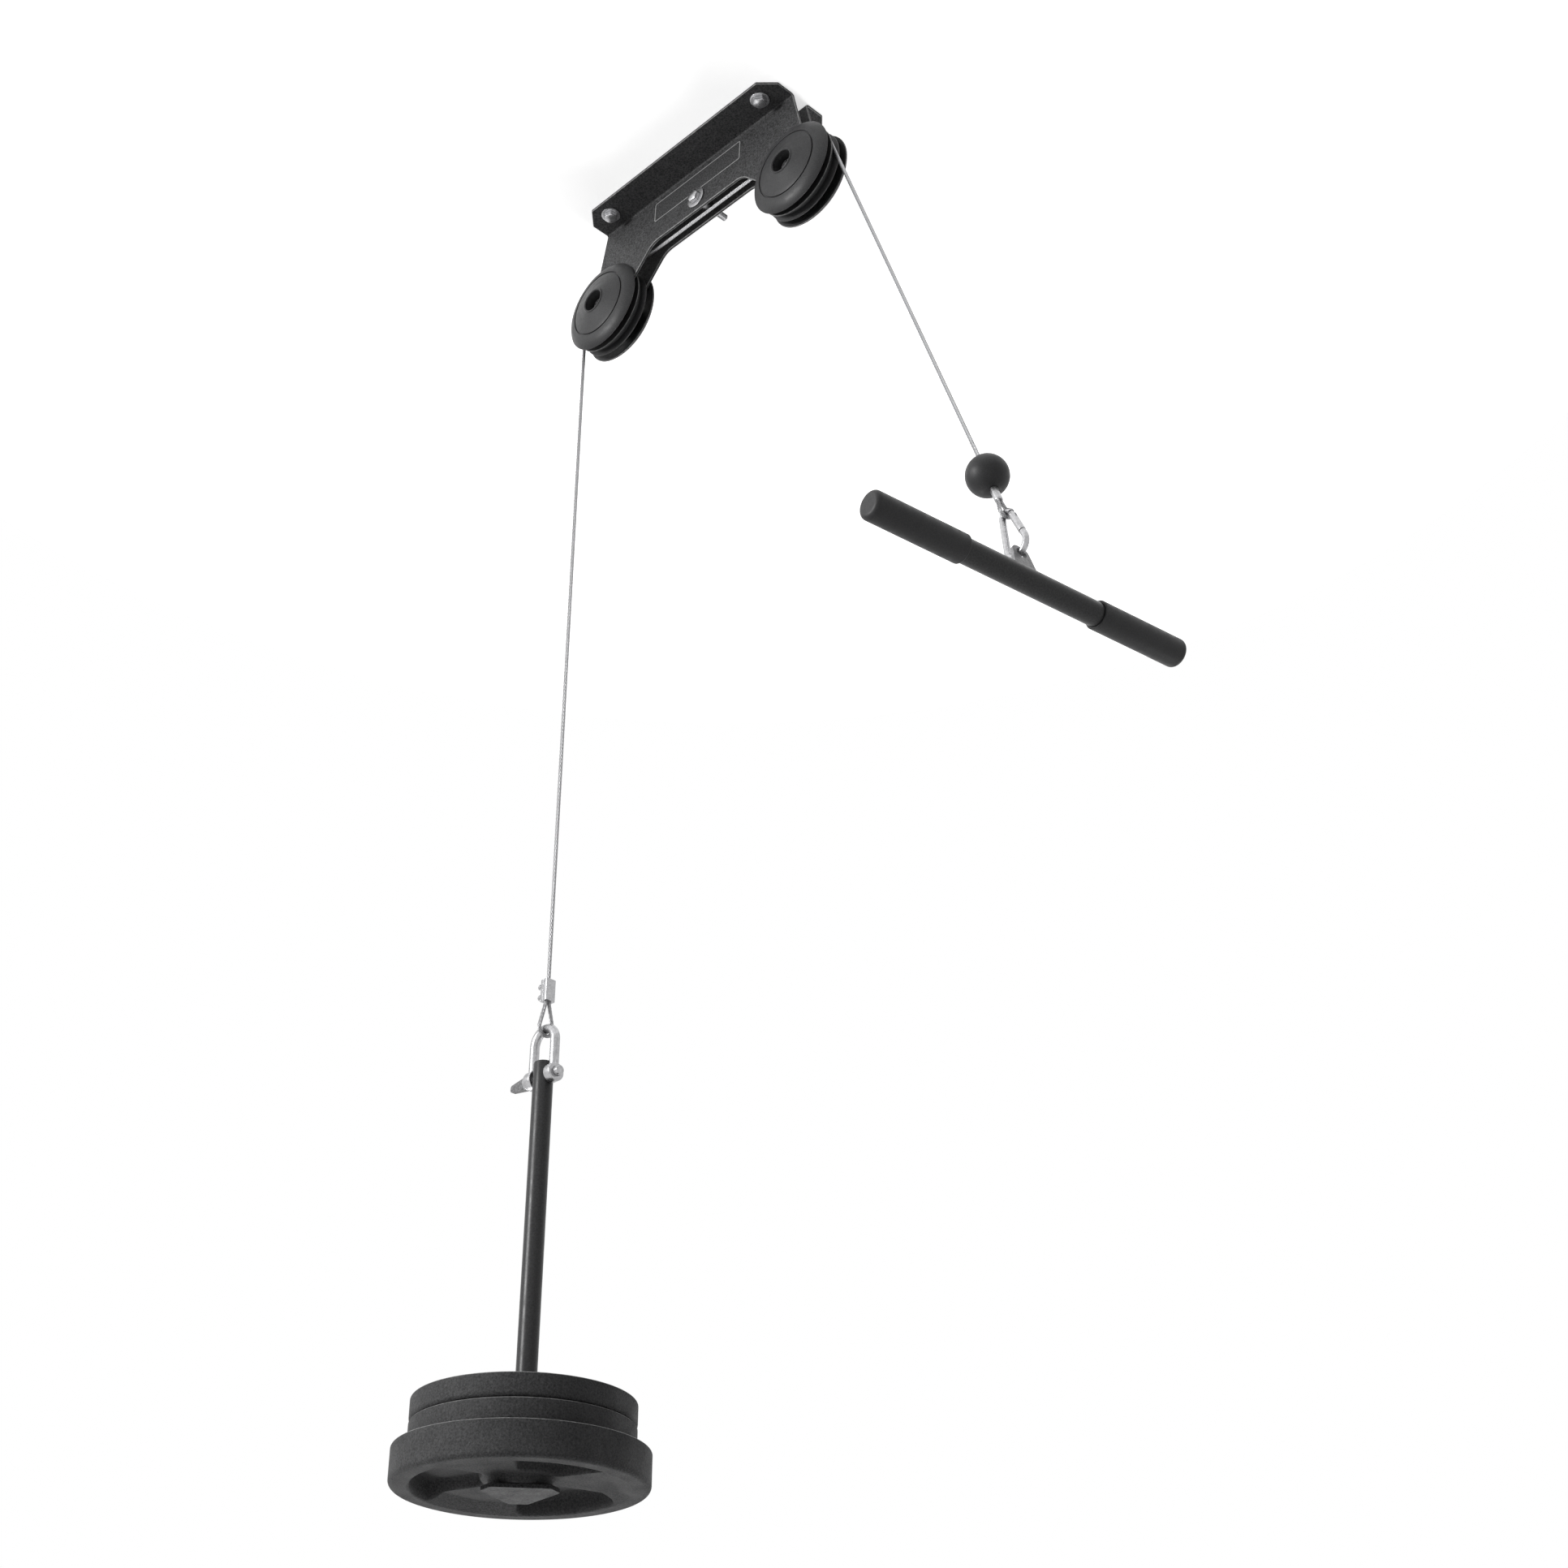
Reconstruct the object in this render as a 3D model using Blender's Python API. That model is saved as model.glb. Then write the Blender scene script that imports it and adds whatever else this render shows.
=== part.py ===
"""Ceiling pulley for lat pull-downs: a twin-pulley bracket, a wire rope, a weight hanger and a pull-down bar.

Metres, +Z up. The origin is on the ceiling, at the centre of the four-bolt pattern. +X runs along the
bracket from the weight side to the handle side, and +Y runs along the pulley axles, from the near side
plate to the far one. The rope is taut all the way: up from the weights, over both wheels, and down at a
slant to the bar.
"""

import math

import bmesh
import bpy
from mathutils import Matrix, Vector

for old in list(bpy.data.objects):
    bpy.data.objects.remove(old, do_unlink=True)

# Fits
GAP = 0.0003                    # between faces that touch
FIT = 0.0003                    # round a bolt, pin or ring in its hole

# Side plates: two folded steel sheets, mirror images of each other
SHEET = 0.004
PLATE_LENGTH = 0.390
WEB_GAP = 0.022                 # between the two webs
FLANGE_WIDTH = 0.0505           # from the web's outer face to the flange's edge
FLANGE_CHAMFER = 0.022
BEND_RADIUS = 0.0025
WEB_DEPTH = 0.085               # ceiling to the straight lower edge
NOTCH_LENGTH = 0.186            # the straight lower edge, before its corners are rounded
NOTCH_FILLET = 0.030
ARM_END_RADIUS = 0.031

# Fasteners: M10 throughout
BOLT_RADIUS = 0.005
HEAD_FLATS = 0.017
HEAD_HEIGHT = 0.0064
NUT_HEIGHT = 0.008
WASHER_RADIUS = 0.0138
CENTRE_WASHER_RADIUS = 0.016
WASHER_THICKNESS = 0.002
CEILING_BOLT_SPACING = 0.314
CEILING_BOLT_OFFSET = 0.042     # from the bracket's middle plane
CENTRE_BOLT_DROP = 0.062
CENTRE_BOLT_TAIL = 0.017        # thread that stands out of the nut
AXLE_BOLT_TAIL = 0.004
SPACER_RADIUS = 0.008

# Rope
ROPE_RADIUS = 0.0025
ROPE_STEP_COUNT = 2             # bevel resolution of the rope
EYE_STRAIGHT = 0.003            # of each strand before it leans out into the eye

# Pulleys
PULLEY_SPACING = 0.388
PULLEY_DROP = 0.144
WHEEL_RADIUS = 0.067
WHEEL_WIDTH = 0.016
WHEEL_LIP = 0.0026              # thickness of a flange at its edge
ROPE_PITCH_RADIUS = 0.061       # wheel axis to the rope's centre line
GROOVE_FIT = 0.0006             # under the rope, where the groove's floor lies
WHEEL_HUB_WALL = 0.006
WHEEL_RIM_WALL = 0.0045         # metal under the groove's floor
WHEEL_WEB = 0.006
GROOVE_FLARE = 0.0012           # of the groove's floor beside the rope
COVER_RADIUS = 0.070
COVER_BACK = 0.0025             # web to the rim's edge: only the hub touches the web
COVER_DEPTH = 0.0235            # web's outer face to the cover's face
COVER_RIM = 0.0015              # straight part of the rim
COVER_RING_RADIUS = 0.051       # the step line on the face
COVER_SHOULDER = 0.0135         # depth at that line
COVER_BULGE = 0.0020            # of the dome between rim and ring, off a straight cone
COVER_HOLE_RADIUS = 0.0165
COVER_FLOOR = 0.0058            # what the axle bolt's head clamps
COVER_WALL = 0.0045
COVER_EDGE = 0.0008             # bevel round the hole

# Ball bearings in the wheels, 15 x 35 x 11 mm
BEARING_INNER = 0.0075
BEARING_OUTER = 0.0175
BEARING_WIDTH = 0.011
RING_WALL = 0.0030
RACE_DEPTH = 0.0012
BALL_RADIUS = 0.0026
BALL_COUNT = 6
CAGE_THICKNESS = 0.0012

# Weight hanger
WEIGHT_ROPE_LENGTH = 1.0591     # axle height to the clamp's top
CLAMP_WIDTH = 0.013             # along X
CLAMP_DEPTH = 0.015             # along Y
CLAMP_HEIGHT = 0.0295
CLAMP_SCREW_SPACING = 0.0145
CLAMP_SCREW_Y = -0.003
CLAMP_SCREW_RADIUS = 0.002
CLAMP_SCREW_DEPTH = 0.004
CLAMP_HEAD_RADIUS = 0.004
CLAMP_HEAD_HEIGHT = 0.006
CLAMP_CORNER = 0.0015
WEIGHT_EYE_LENGTH = 0.0458      # clamp to the eye's lowest centre line
WEIGHT_EYE_RADIUS = 0.0105
SHACKLE_WIRE = 0.006            # radius
SHACKLE_HALF_WIDTH = 0.0195     # middle plane to a leg's centre line
SHACKLE_LENGTH = 0.0633         # crown's centre line to the pin
SHACKLE_EAR_RADIUS = 0.012
SHACKLE_PIN_RADIUS = 0.0062
SHACKLE_PIN_TIP = 0.007         # stands out of the right ear
SHACKLE_COLLAR_RADIUS = 0.0095
SHACKLE_COLLAR = 0.005
SHACKLE_TAB_LENGTH = 0.031
SHACKLE_TAB_WIDTH = 0.0185
SHACKLE_TAB_TIP = 0.0085
SHACKLE_TAB_THICKNESS = 0.006
SHACKLE_TAB_CORNER = 0.003
SHACKLE_PIN_CHAMFER = 0.001
ROD_RADIUS = 0.0125
ROD_HEAD = 0.018                # pin hole's axis to the rod's top
ROD_LENGTH = 0.5147
ROD_CHAMFER = 0.0012
BASE_REACH = 0.045              # axis to a truncated corner
BASE_CORNER = 0.022             # width of a truncated corner
BASE_THICKNESS = 0.005
BASE_TURN = math.radians(23.0)
BASE_ROUND = 0.004

# Weight plates
PLATE_BORE_RADIUS = 0.014
LARGE_RADIUS = 0.1464
LARGE_THICKNESS = 0.0412
SMALL_RADIUS = 0.1288
SMALL_THICKNESS = 0.0272
RIM_WIDTH = 0.021               # flat ring at the plate's edge
HUB_RADIUS = 0.033
DISH_DEPTH = 0.010              # of the dished ring between rim and hub
DISH_BEVEL = 0.022              # radial width of the dish's slanted side
TOP_DISH_DEPTH = 0.004
HUB_DRAFT = 0.004               # how far the hub's foot widens
PLATE_EDGE = 0.001              # bevel of the upper edge
LOWER_ROUND = 0.006             # the rounded lower edge
POCKET_COUNT = 3
POCKET_DEPTH = 0.024            # from the rim's face
POCKET_INNER = 0.046            # radius where a pocket starts
POCKET_SPAN = math.radians(64.0)
POCKET_CORNER = 0.010
POCKET_TURN = math.radians(-10.0)
POCKET_MARGIN = 0.004           # rim to the pocket's outer side

# Handle side
ROPE_SLANT = math.radians(18.85)    # from plumb
HANG_SLANT = math.radians(15.6)     # of the carabiner and bar, which hang a little steeper
BAR_TWIST = math.radians(6.8)       # the bar turned about the plumb line
HANDLE_ROPE_LENGTH = 0.739          # from the wheel to the ball's centre
BALL_STOP_RADIUS = 0.0258
FERRULE_RADIUS = 0.0049
FERRULE_LENGTH = 0.028
FERRULE_START = 0.018               # below the ball's centre
FERRULE_TAPER = 0.0015
HANDLE_EYE_LENGTH = 0.0295          # ferrule to the eye's lowest centre line
HANDLE_EYE_RADIUS = 0.0072
HOOK_WIRE = 0.004                   # carabiner's wire radius
HOOK_TOP_RADIUS = 0.0073
HOOK_LOW_RADIUS = 0.015
HOOK_CENTRES = 0.046                # between the two bends' centres
GATE_RADIUS = 0.0044
GATE_START = 0.0023                 # along the gate's side, from the top bend
GATE_PIN_PLACE = 0.0065
GATE_END = 0.038
GATE_CLEARANCE = 0.0015             # gate to nose
GATE_SLOT = 0.0046
GATE_SLOT_DEPTH = 0.0075            # below the gate's pin
TONGUE = 0.0040                     # thickness
TONGUE_WIDTH = 0.0056
TONGUE_LENGTH = 0.0100
GATE_BEVEL = 0.0011
GATE_PIN_RADIUS = 0.0015
LUG_THICKNESS = 0.005
LUG_BASE = 0.035
LUG_TOP = 0.022
LUG_CROWN = 0.0040                  # metal over the hole
LUG_SLACK = 0.0012                  # hole's top to the hook's wire
LUG_HOLE_RADIUS = 0.007
LUG_CORNER = 0.0100
HOOK_TO_BAR = 0.0481                # hook's low wire to the bar's axis
TUBE_RADIUS = 0.0145
TUBE_WALL = 0.002
BAR_LENGTH = 0.456
GRIP_RADIUS = 0.01725
GRIP_LENGTH = 0.129
GRIP_END = 0.006                    # closed end's thickness
GRIP_ROUND = 0.006
GRIP_LIP = 0.0015

# Places that follow from the sizes
WEB_IN = WEB_GAP / 2
WEB_OUT = WEB_IN + SHEET
WEIGHT_PULLEY_X = -PULLEY_SPACING / 2
HANDLE_PULLEY_X = PULLEY_SPACING / 2
AXLE_Z = -PULLEY_DROP
WEIGHT_X = WEIGHT_PULLEY_X - ROPE_PITCH_RADIUS
CLAMP_TOP = AXLE_Z - WEIGHT_ROPE_LENGTH
CLAMP_BOTTOM = CLAMP_TOP - CLAMP_HEIGHT
WEIGHT_EYE_LOW = CLAMP_BOTTOM - WEIGHT_EYE_LENGTH
CROWN_Z = WEIGHT_EYE_LOW + ROPE_RADIUS + GAP + SHACKLE_WIRE
BOW_CENTRE_Z = CROWN_Z - SHACKLE_HALF_WIDTH
SHACKLE_PIN_Z = CROWN_Z - SHACKLE_LENGTH
ROD_TOP = SHACKLE_PIN_Z + ROD_HEAD
ROD_BOTTOM = ROD_TOP - ROD_LENGTH
BASE_TOP = ROD_BOTTOM - GAP
LARGE_BOTTOM = BASE_TOP + GAP
SMALL_LOWER_BOTTOM = LARGE_BOTTOM + LARGE_THICKNESS + GAP
SMALL_UPPER_BOTTOM = SMALL_LOWER_BOTTOM + SMALL_THICKNESS + GAP
HOOK_LOW_WIRE = HOOK_CENTRES + HOOK_LOW_RADIUS

MATERIALS = {
    "black_powder_coat": ((0.030, 0.030, 0.032), 0.55, 0.35),
    "zinc": ((0.62, 0.62, 0.64), 0.32, 1.0),
    "black_plastic": ((0.035, 0.035, 0.037), 0.60, 0.0),
    "bearing_steel": ((0.55, 0.55, 0.56), 0.25, 1.0),
    "wire_rope": ((0.45, 0.45, 0.46), 0.40, 1.0),
    "plate_black": ((0.055, 0.055, 0.057), 0.80, 0.0),
    "rubber": ((0.025, 0.025, 0.026), 0.75, 0.0),
}


def material(name):
    """One Principled material for each slot, shared by the pieces made of it."""
    if name in bpy.data.materials:
        return bpy.data.materials[name]
    colour, roughness, metallic = MATERIALS[name]
    made = bpy.data.materials.new(name)
    made.use_nodes = True
    shader = made.node_tree.nodes["Principled BSDF"]
    shader.inputs["Base Color"].default_value = (*colour, 1.0)
    shader.inputs["Roughness"].default_value = roughness
    shader.inputs["Metallic"].default_value = metallic
    return made


def turn(axis, angle):
    return Matrix.Rotation(angle, 4, axis)


def at(x, y, z):
    return Matrix.Translation((x, y, z))


# Frames that pieces are built in: local Z is the line that the piece hangs or turns about
ALONG_Y = turn("X", math.radians(-90))      # local Z is world +Y
ALONG_X = turn("Y", math.radians(90))       # local Z is world +X
PULL = Vector((math.sin(ROPE_SLANT), 0, -math.cos(ROPE_SLANT)))
TANGENT = Vector((HANDLE_PULLEY_X, 0, AXLE_Z)) + ROPE_PITCH_RADIUS * Vector(
    (math.cos(ROPE_SLANT), 0, math.sin(ROPE_SLANT)))
BALL_CENTRE = TANGENT + HANDLE_ROPE_LENGTH * PULL
ROPE_END_FRAME = at(*BALL_CENTRE) @ turn("Y", -ROPE_SLANT) @ turn("Z", -BAR_TWIST)
HANDLE_EYE_LOW = FERRULE_START + FERRULE_LENGTH + HANDLE_EYE_LENGTH
HOOK_DROP = HANDLE_EYE_LOW - ROPE_RADIUS - GAP - HOOK_WIRE + HOOK_TOP_RADIUS    # ball to top bend's centre
HOOK_CENTRE = BALL_CENTRE + HOOK_DROP * PULL
HOOK_FRAME = at(*HOOK_CENTRE) @ turn("Z", -BAR_TWIST) @ turn("Y", -HANG_SLANT)
BAR_FRAME = HOOK_FRAME @ at(0, 0, -(HOOK_LOW_WIRE + HOOK_TO_BAR))

PIVOTS = {}


def pivot(name, place, parent=None):
    """An empty on a joint's axis, which the joint's moving pieces hang from."""
    empty = bpy.data.objects.new(name, None)
    empty.empty_display_size = 0.03
    bpy.context.collection.objects.link(empty)
    PIVOTS[name] = Matrix.Translation(place)
    if parent:
        empty.parent = bpy.data.objects[parent]
        empty.matrix_parent_inverse = PIVOTS[parent].inverted()
    empty.location = place
    return name


def add(name, data, slot, frame=None, parent=None):
    """Links a mesh or curve as a named piece, placed by its frame."""
    piece = bpy.data.objects.new(name, data)
    bpy.context.collection.objects.link(piece)
    data.materials.clear()
    data.materials.append(material(slot))
    if parent:
        piece.parent = bpy.data.objects[parent]
        piece.matrix_parent_inverse = PIVOTS[parent].inverted()
    piece.matrix_basis = frame or Matrix.Identity(4)
    if piece.type == "MESH":
        data.shade_smooth()
        data.set_sharp_from_angle(angle=math.radians(35))
    return piece


def finished(bm, name):
    bmesh.ops.recalc_face_normals(bm, faces=bm.faces)
    mesh = bpy.data.meshes.new(name)
    bm.to_mesh(mesh)
    bm.free()
    return mesh


def turned(name, profile, segments, closed=False):
    """Spins a profile of (radius, height) points about local Z. A closed profile makes a ring."""
    bm = bmesh.new()
    verts = [bm.verts.new((r, 0, z)) for r, z in profile]
    pairs = list(zip(verts, verts[1:]))
    if closed:
        pairs.append((verts[-1], verts[0]))
    edges = [bm.edges.new(pair) for pair in pairs]
    bmesh.ops.spin(bm, geom=verts + edges, cent=(0, 0, 0), axis=(0, 0, 1), angle=2 * math.pi,
                   steps=segments, use_merge=True)
    bmesh.ops.remove_doubles(bm, verts=bm.verts, dist=1e-6)
    return finished(bm, name)


def rod(name, radius, low, high, segments):
    return turned(name, [(0, low), (radius, low), (radius, high), (0, high)], segments)


def ring(name, inner, outer, low, high, segments):
    return turned(name, [(inner, low), (outer, low), (outer, high), (inner, high)], segments, closed=True)


def prism(name, outline, low, high):
    """An outline of (x, y) points made solid between two heights."""
    bm = bmesh.new()
    face = bm.faces.new([bm.verts.new((x, y, low)) for x, y in outline])
    grown = bmesh.ops.extrude_face_region(bm, geom=[face])
    top = [v for v in grown["geom"] if isinstance(v, bmesh.types.BMVert)]
    bmesh.ops.translate(bm, verts=top, vec=(0, 0, high - low))
    return finished(bm, name)


def hexagon(flats):
    radius = flats / math.sqrt(3)
    return [(radius * math.cos(i * math.pi / 3), radius * math.sin(i * math.pi / 3)) for i in range(6)]


def rectangle(width, depth):
    x = width / 2
    y = depth / 2
    return [(x, -y), (x, y), (-x, y), (-x, -y)]


def arc(centre, radius, start, end, steps):
    """Points on an arc, both ends included, angles in radians."""
    return [(centre[0] + radius * math.cos(start + (end - start) * i / steps),
             centre[1] + radius * math.sin(start + (end - start) * i / steps)) for i in range(steps + 1)]


def rounded(outline, corners, steps=5):
    """The outline with each corner of a radius above 0 replaced by an arc."""
    points = []
    for i, (corner, radius) in enumerate(zip(outline, corners)):
        here = Vector(corner)
        before = (Vector(outline[i - 1]) - here).normalized()
        after = (Vector(outline[(i + 1) % len(outline)]) - here).normalized()
        if radius <= 0:
            points.append(tuple(here))
            continue
        half = before.angle(after) / 2
        centre = here + (before + after).normalized() * radius / math.sin(half)
        first = here + before * radius / math.tan(half) - centre
        last = here + after * radius / math.tan(half) - centre
        sweep = first.angle_signed(last)
        points += [tuple(centre + Matrix.Rotation(-sweep * k / steps, 2) @ first) for k in range(steps + 1)]
    return points


def boolean(piece, other, operation):
    """Cuts, joins or trims a piece with a hidden helper."""
    other.hide_render = True
    other.display_type = "WIRE"
    step = piece.modifiers.new(operation.lower(), "BOOLEAN")
    step.operation = operation
    step.object = other


def helper(name, mesh, frame):
    guide = bpy.data.objects.new(name, mesh)
    bpy.context.collection.objects.link(guide)
    guide.matrix_world = frame
    return guide


def merged(name, parts):
    """One mesh from several (mesh, frame) pairs."""
    bm = bmesh.new()
    for mesh, frame in parts:
        mesh.transform(frame)
        bm.from_mesh(mesh)
    return finished(bm, name)


def tube(name, points, radius, slot, frame=None, parent=None, level=ROPE_STEP_COUNT):
    """A rope or wire along points, as a bevelled curve with filled ends."""
    curve = bpy.data.curves.new(name, "CURVE")
    curve.dimensions = "3D"
    curve.bevel_depth = radius
    curve.bevel_resolution = level
    curve.use_fill_caps = True
    spline = curve.splines.new("POLY")
    spline.points.add(len(points) - 1)
    for point, place in zip(spline.points, points):
        point.co = (*place, 1.0)
    return add(name, curve, slot, frame, parent)


def swept_mesh(name, points, radius, level):
    """The same tube as a mesh, where another shape has to be joined to it."""
    wire = tube(name + "_path", points, radius, "zinc", level=level)
    mesh = bpy.data.meshes.new_from_object(wire)
    mesh.name = name
    bpy.data.objects.remove(wire, do_unlink=True)
    return mesh


def eye_points(half_start, length, radius, start):
    """A rope eye in the local YZ plane: two strands that start plumb and part round an arc, as a teardrop."""
    centre = length - radius
    drop = centre - EYE_STRAIGHT
    reach = math.hypot(drop, half_start)
    touch = math.pi / 2 - math.atan2(half_start, drop) - math.acos(radius / reach)
    round_part = [(y, centre - z) for y, z in arc((0, 0), radius, touch, -math.pi - touch, 14)]
    path = [(half_start, 0), (half_start, EYE_STRAIGHT)] + round_part
    path += [(-half_start, EYE_STRAIGHT), (-half_start, 0)]
    return [(0, y, -(start + below)) for y, below in path]


def web_outline():
    """The web below its bend, as (x, drop) points: a straight lower edge between two round-ended arms."""
    top = SHEET + BEND_RADIUS
    centre = Vector((HANDLE_PULLEY_X, PULLEY_DROP))

    def touch(corner, side):
        """Angle on the arm's round end where a line from the corner touches it."""
        away = Vector(corner) - centre
        return math.atan2(away.y, away.x) + side * math.acos(ARM_END_RADIUS / away.length)

    notch = (NOTCH_LENGTH / 2, WEB_DEPTH)
    outer = touch((PLATE_LENGTH / 2, top), 1)
    inner = touch(notch, -1)
    while inner < outer:
        inner += 2 * math.pi
    arm = [(PLATE_LENGTH / 2, top)] + arc(centre, ARM_END_RADIUS, outer, inner, 8)
    inward = Vector(arm[-1])
    row = [inward, Vector(notch), Vector((0, WEB_DEPTH))]
    corner = rounded([tuple(p) for p in row], [0, NOTCH_FILLET, 0], steps=4)[1:-1]
    half = arm + corner
    return half + [(-x, drop) for x, drop in reversed(half)]


def side_plate(name, side):
    """A folded sheet: flange, bend and web in one surface, thickened away from the inside of its bend."""
    bm = bmesh.new()
    half = PLATE_LENGTH / 2
    edge = WEB_OUT + FLANGE_WIDTH
    bend_centre = (WEB_OUT + BEND_RADIUS, -SHEET - BEND_RADIUS)
    steps = 3
    bend = arc(bend_centre, BEND_RADIUS, math.pi / 2, math.pi, steps)

    def vert(x, y, z):
        return bm.verts.new((x, side * y, z))

    rows = [(vert(-half, y, z), vert(half, y, z)) for y, z in bend]
    for upper, lower in zip(rows, rows[1:]):
        bm.faces.new((upper[0], upper[1], lower[1], lower[0]))
    flange = [(half, edge - FLANGE_CHAMFER), (half - FLANGE_CHAMFER, edge),
              (-half + FLANGE_CHAMFER, edge), (-half, edge - FLANGE_CHAMFER)]
    bm.faces.new([rows[0][0], rows[0][1]] + [vert(x, y, -SHEET) for x, y in flange])
    low = [vert(x, WEB_OUT, -drop) for x, drop in web_outline()[1:-1]]
    bm.faces.new([rows[-1][0], rows[-1][1]] + low)
    bmesh.ops.recalc_face_normals(bm, faces=bm.faces)
    bm.faces.ensure_lookup_table()
    up = [f for f in bm.faces if abs(f.normal.z) > 0.99][0]
    if up.normal.z < 0:
        bmesh.ops.reverse_faces(bm, faces=bm.faces)
    mesh = bpy.data.meshes.new(name)
    bm.to_mesh(mesh)
    bm.free()
    plate = add(name, mesh, "black_powder_coat")
    thick = plate.modifiers.new("sheet", "SOLIDIFY")
    thick.thickness = SHEET
    thick.offset = 1.0
    thick.use_even_offset = True
    holes = [at(x, side * WEB_OUT, z) @ ALONG_Y
             for x, z in ((WEIGHT_PULLEY_X, AXLE_Z), (HANDLE_PULLEY_X, AXLE_Z), (0, -CENTRE_BOLT_DROP))]
    holes += [at(along * CEILING_BOLT_SPACING / 2, side * CEILING_BOLT_OFFSET, 0) for along in (-1, 1)]
    through = 4 * SHEET
    tools = [(rod("tool", BOLT_RADIUS + FIT, -through, through, 16), frame) for frame in holes]
    boolean(plate, helper(name + "_holes", merged(name + "_holes", tools), Matrix.Identity(4)), "DIFFERENCE")


def bolt(name, length, frame):
    """A hex bolt: local Z runs from under the head along the shank."""
    shank = rod(name, BOLT_RADIUS, -HEAD_HEIGHT / 2, length, 14)
    piece = add(name, shank, "zinc", frame)
    head = prism(name + "_head", hexagon(HEAD_FLATS), -HEAD_HEIGHT, 0)
    boolean(piece, helper(name + "_head", head, frame), "UNION")


def nut(name, frame):
    piece = add(name, prism(name, hexagon(HEAD_FLATS), 0, NUT_HEIGHT), "zinc", frame)
    thread = rod(name + "_thread", BOLT_RADIUS + FIT, -NUT_HEIGHT, 2 * NUT_HEIGHT, 14)
    boolean(piece, helper(name + "_thread", thread, frame), "DIFFERENCE")


def washer(name, radius, frame):
    add(name, ring(name, BOLT_RADIUS + FIT, radius, 0, WASHER_THICKNESS, 16), "zinc", frame)


def ceiling_fasteners():
    """Four hex bolts with washers under the flanges. Their shanks end at the ceiling plane."""
    number = 0
    under = -SHEET - GAP
    for y in (-CEILING_BOLT_OFFSET, CEILING_BOLT_OFFSET):
        for x in (-CEILING_BOLT_SPACING / 2, CEILING_BOLT_SPACING / 2):
            number += 1
            washer(f"ceiling_washer_{number}", WASHER_RADIUS, at(x, y, under - WASHER_THICKNESS))
            seat = under - WASHER_THICKNESS - GAP
            bolt(f"ceiling_bolt_{number}", -seat - GAP, at(x, y, seat))


def centre_fasteners():
    """The bolt, washers, spacer and nut that tie the two webs together over the rope."""
    line = at(0, 0, -CENTRE_BOLT_DROP) @ ALONG_Y
    washer("centre_washer_near", CENTRE_WASHER_RADIUS, line @ at(0, 0, -WEB_OUT - GAP - WASHER_THICKNESS))
    washer("centre_washer_far", CENTRE_WASHER_RADIUS, line @ at(0, 0, WEB_OUT + GAP))
    half = WEB_IN - GAP
    spacer = ring("centre_spacer", BOLT_RADIUS + FIT, SPACER_RADIUS, -half, half, 14)
    add("centre_spacer", spacer, "zinc", line)
    seat = WEB_OUT + WASHER_THICKNESS + 2 * GAP
    nut("centre_nut", line @ at(0, 0, seat))
    bolt("centre_bolt", 2 * seat + NUT_HEIGHT + CENTRE_BOLT_TAIL, line @ at(0, 0, -seat))


def cover_profile():
    """Half section of a cover as (radius, depth from the web): a domed cup with a floor for the axle bolt."""
    rim = COVER_BACK + COVER_RIM
    across = COVER_RADIUS - COVER_RING_RADIUS
    up = COVER_SHOULDER - rim
    bulge = COVER_BULGE / math.hypot(across, up)
    dome = []
    for k in (0.3, 0.65, 1.0):
        swell = 4 * k * (1 - k) * bulge
        dome.append((COVER_RADIUS - across * k + swell * up, rim + up * k + swell * across))
    hub = COVER_HOLE_RADIUS + COVER_WALL
    inside = COVER_RADIUS - COVER_WALL
    roof = COVER_SHOULDER - COVER_WALL
    slope = (COVER_DEPTH - COVER_SHOULDER) / (COVER_RING_RADIUS - COVER_HOLE_RADIUS)
    peak = COVER_DEPTH - COVER_WALL - slope * COVER_WALL
    bore = BOLT_RADIUS + FIT
    cavity = [(bore, GAP), (hub, GAP), (hub, peak), (COVER_RING_RADIUS - COVER_WALL, roof),
              (inside, rim), (inside, COVER_BACK)]
    well = [(COVER_HOLE_RADIUS + COVER_EDGE, COVER_DEPTH), (COVER_HOLE_RADIUS, COVER_DEPTH - COVER_EDGE),
            (COVER_HOLE_RADIUS, COVER_FLOOR), (bore, COVER_FLOOR)]
    return cavity + [(COVER_RADIUS, COVER_BACK), (COVER_RADIUS, rim)] + dome + well


def wheel_profile():
    """Half section of a wheel: a bored hub, a thin web and a rim with a rounded rope groove."""
    half = WHEEL_WIDTH / 2
    floor = ROPE_PITCH_RADIUS - ROPE_RADIUS - GROOVE_FIT
    bore = BEARING_OUTER + FIT
    hub = bore + WHEEL_HUB_WALL
    rim = floor - WHEEL_RIM_WALL
    web = WHEEL_WEB / 2
    side = [(bore, half), (hub, half), (hub, web), (rim, web), (rim, half), (WHEEL_RADIUS, half),
            (WHEEL_RADIUS, half - WHEEL_LIP), (floor + GROOVE_FLARE, ROPE_RADIUS + GROOVE_FIT)]
    return side + [(floor, 0)] + [(r, -y) for r, y in reversed(side)]


def race(outward, bearing_radius):
    """Half section of a bearing ring with a shallow ball race on the side that faces the balls."""
    half = BEARING_WIDTH / 2
    face = bearing_radius + outward * RING_WALL
    return [(bearing_radius, -half), (face, -half), (face, -BALL_RADIUS),
            (face - outward * RACE_DEPTH, 0), (face, BALL_RADIUS), (face, half), (bearing_radius, half)]


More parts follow.
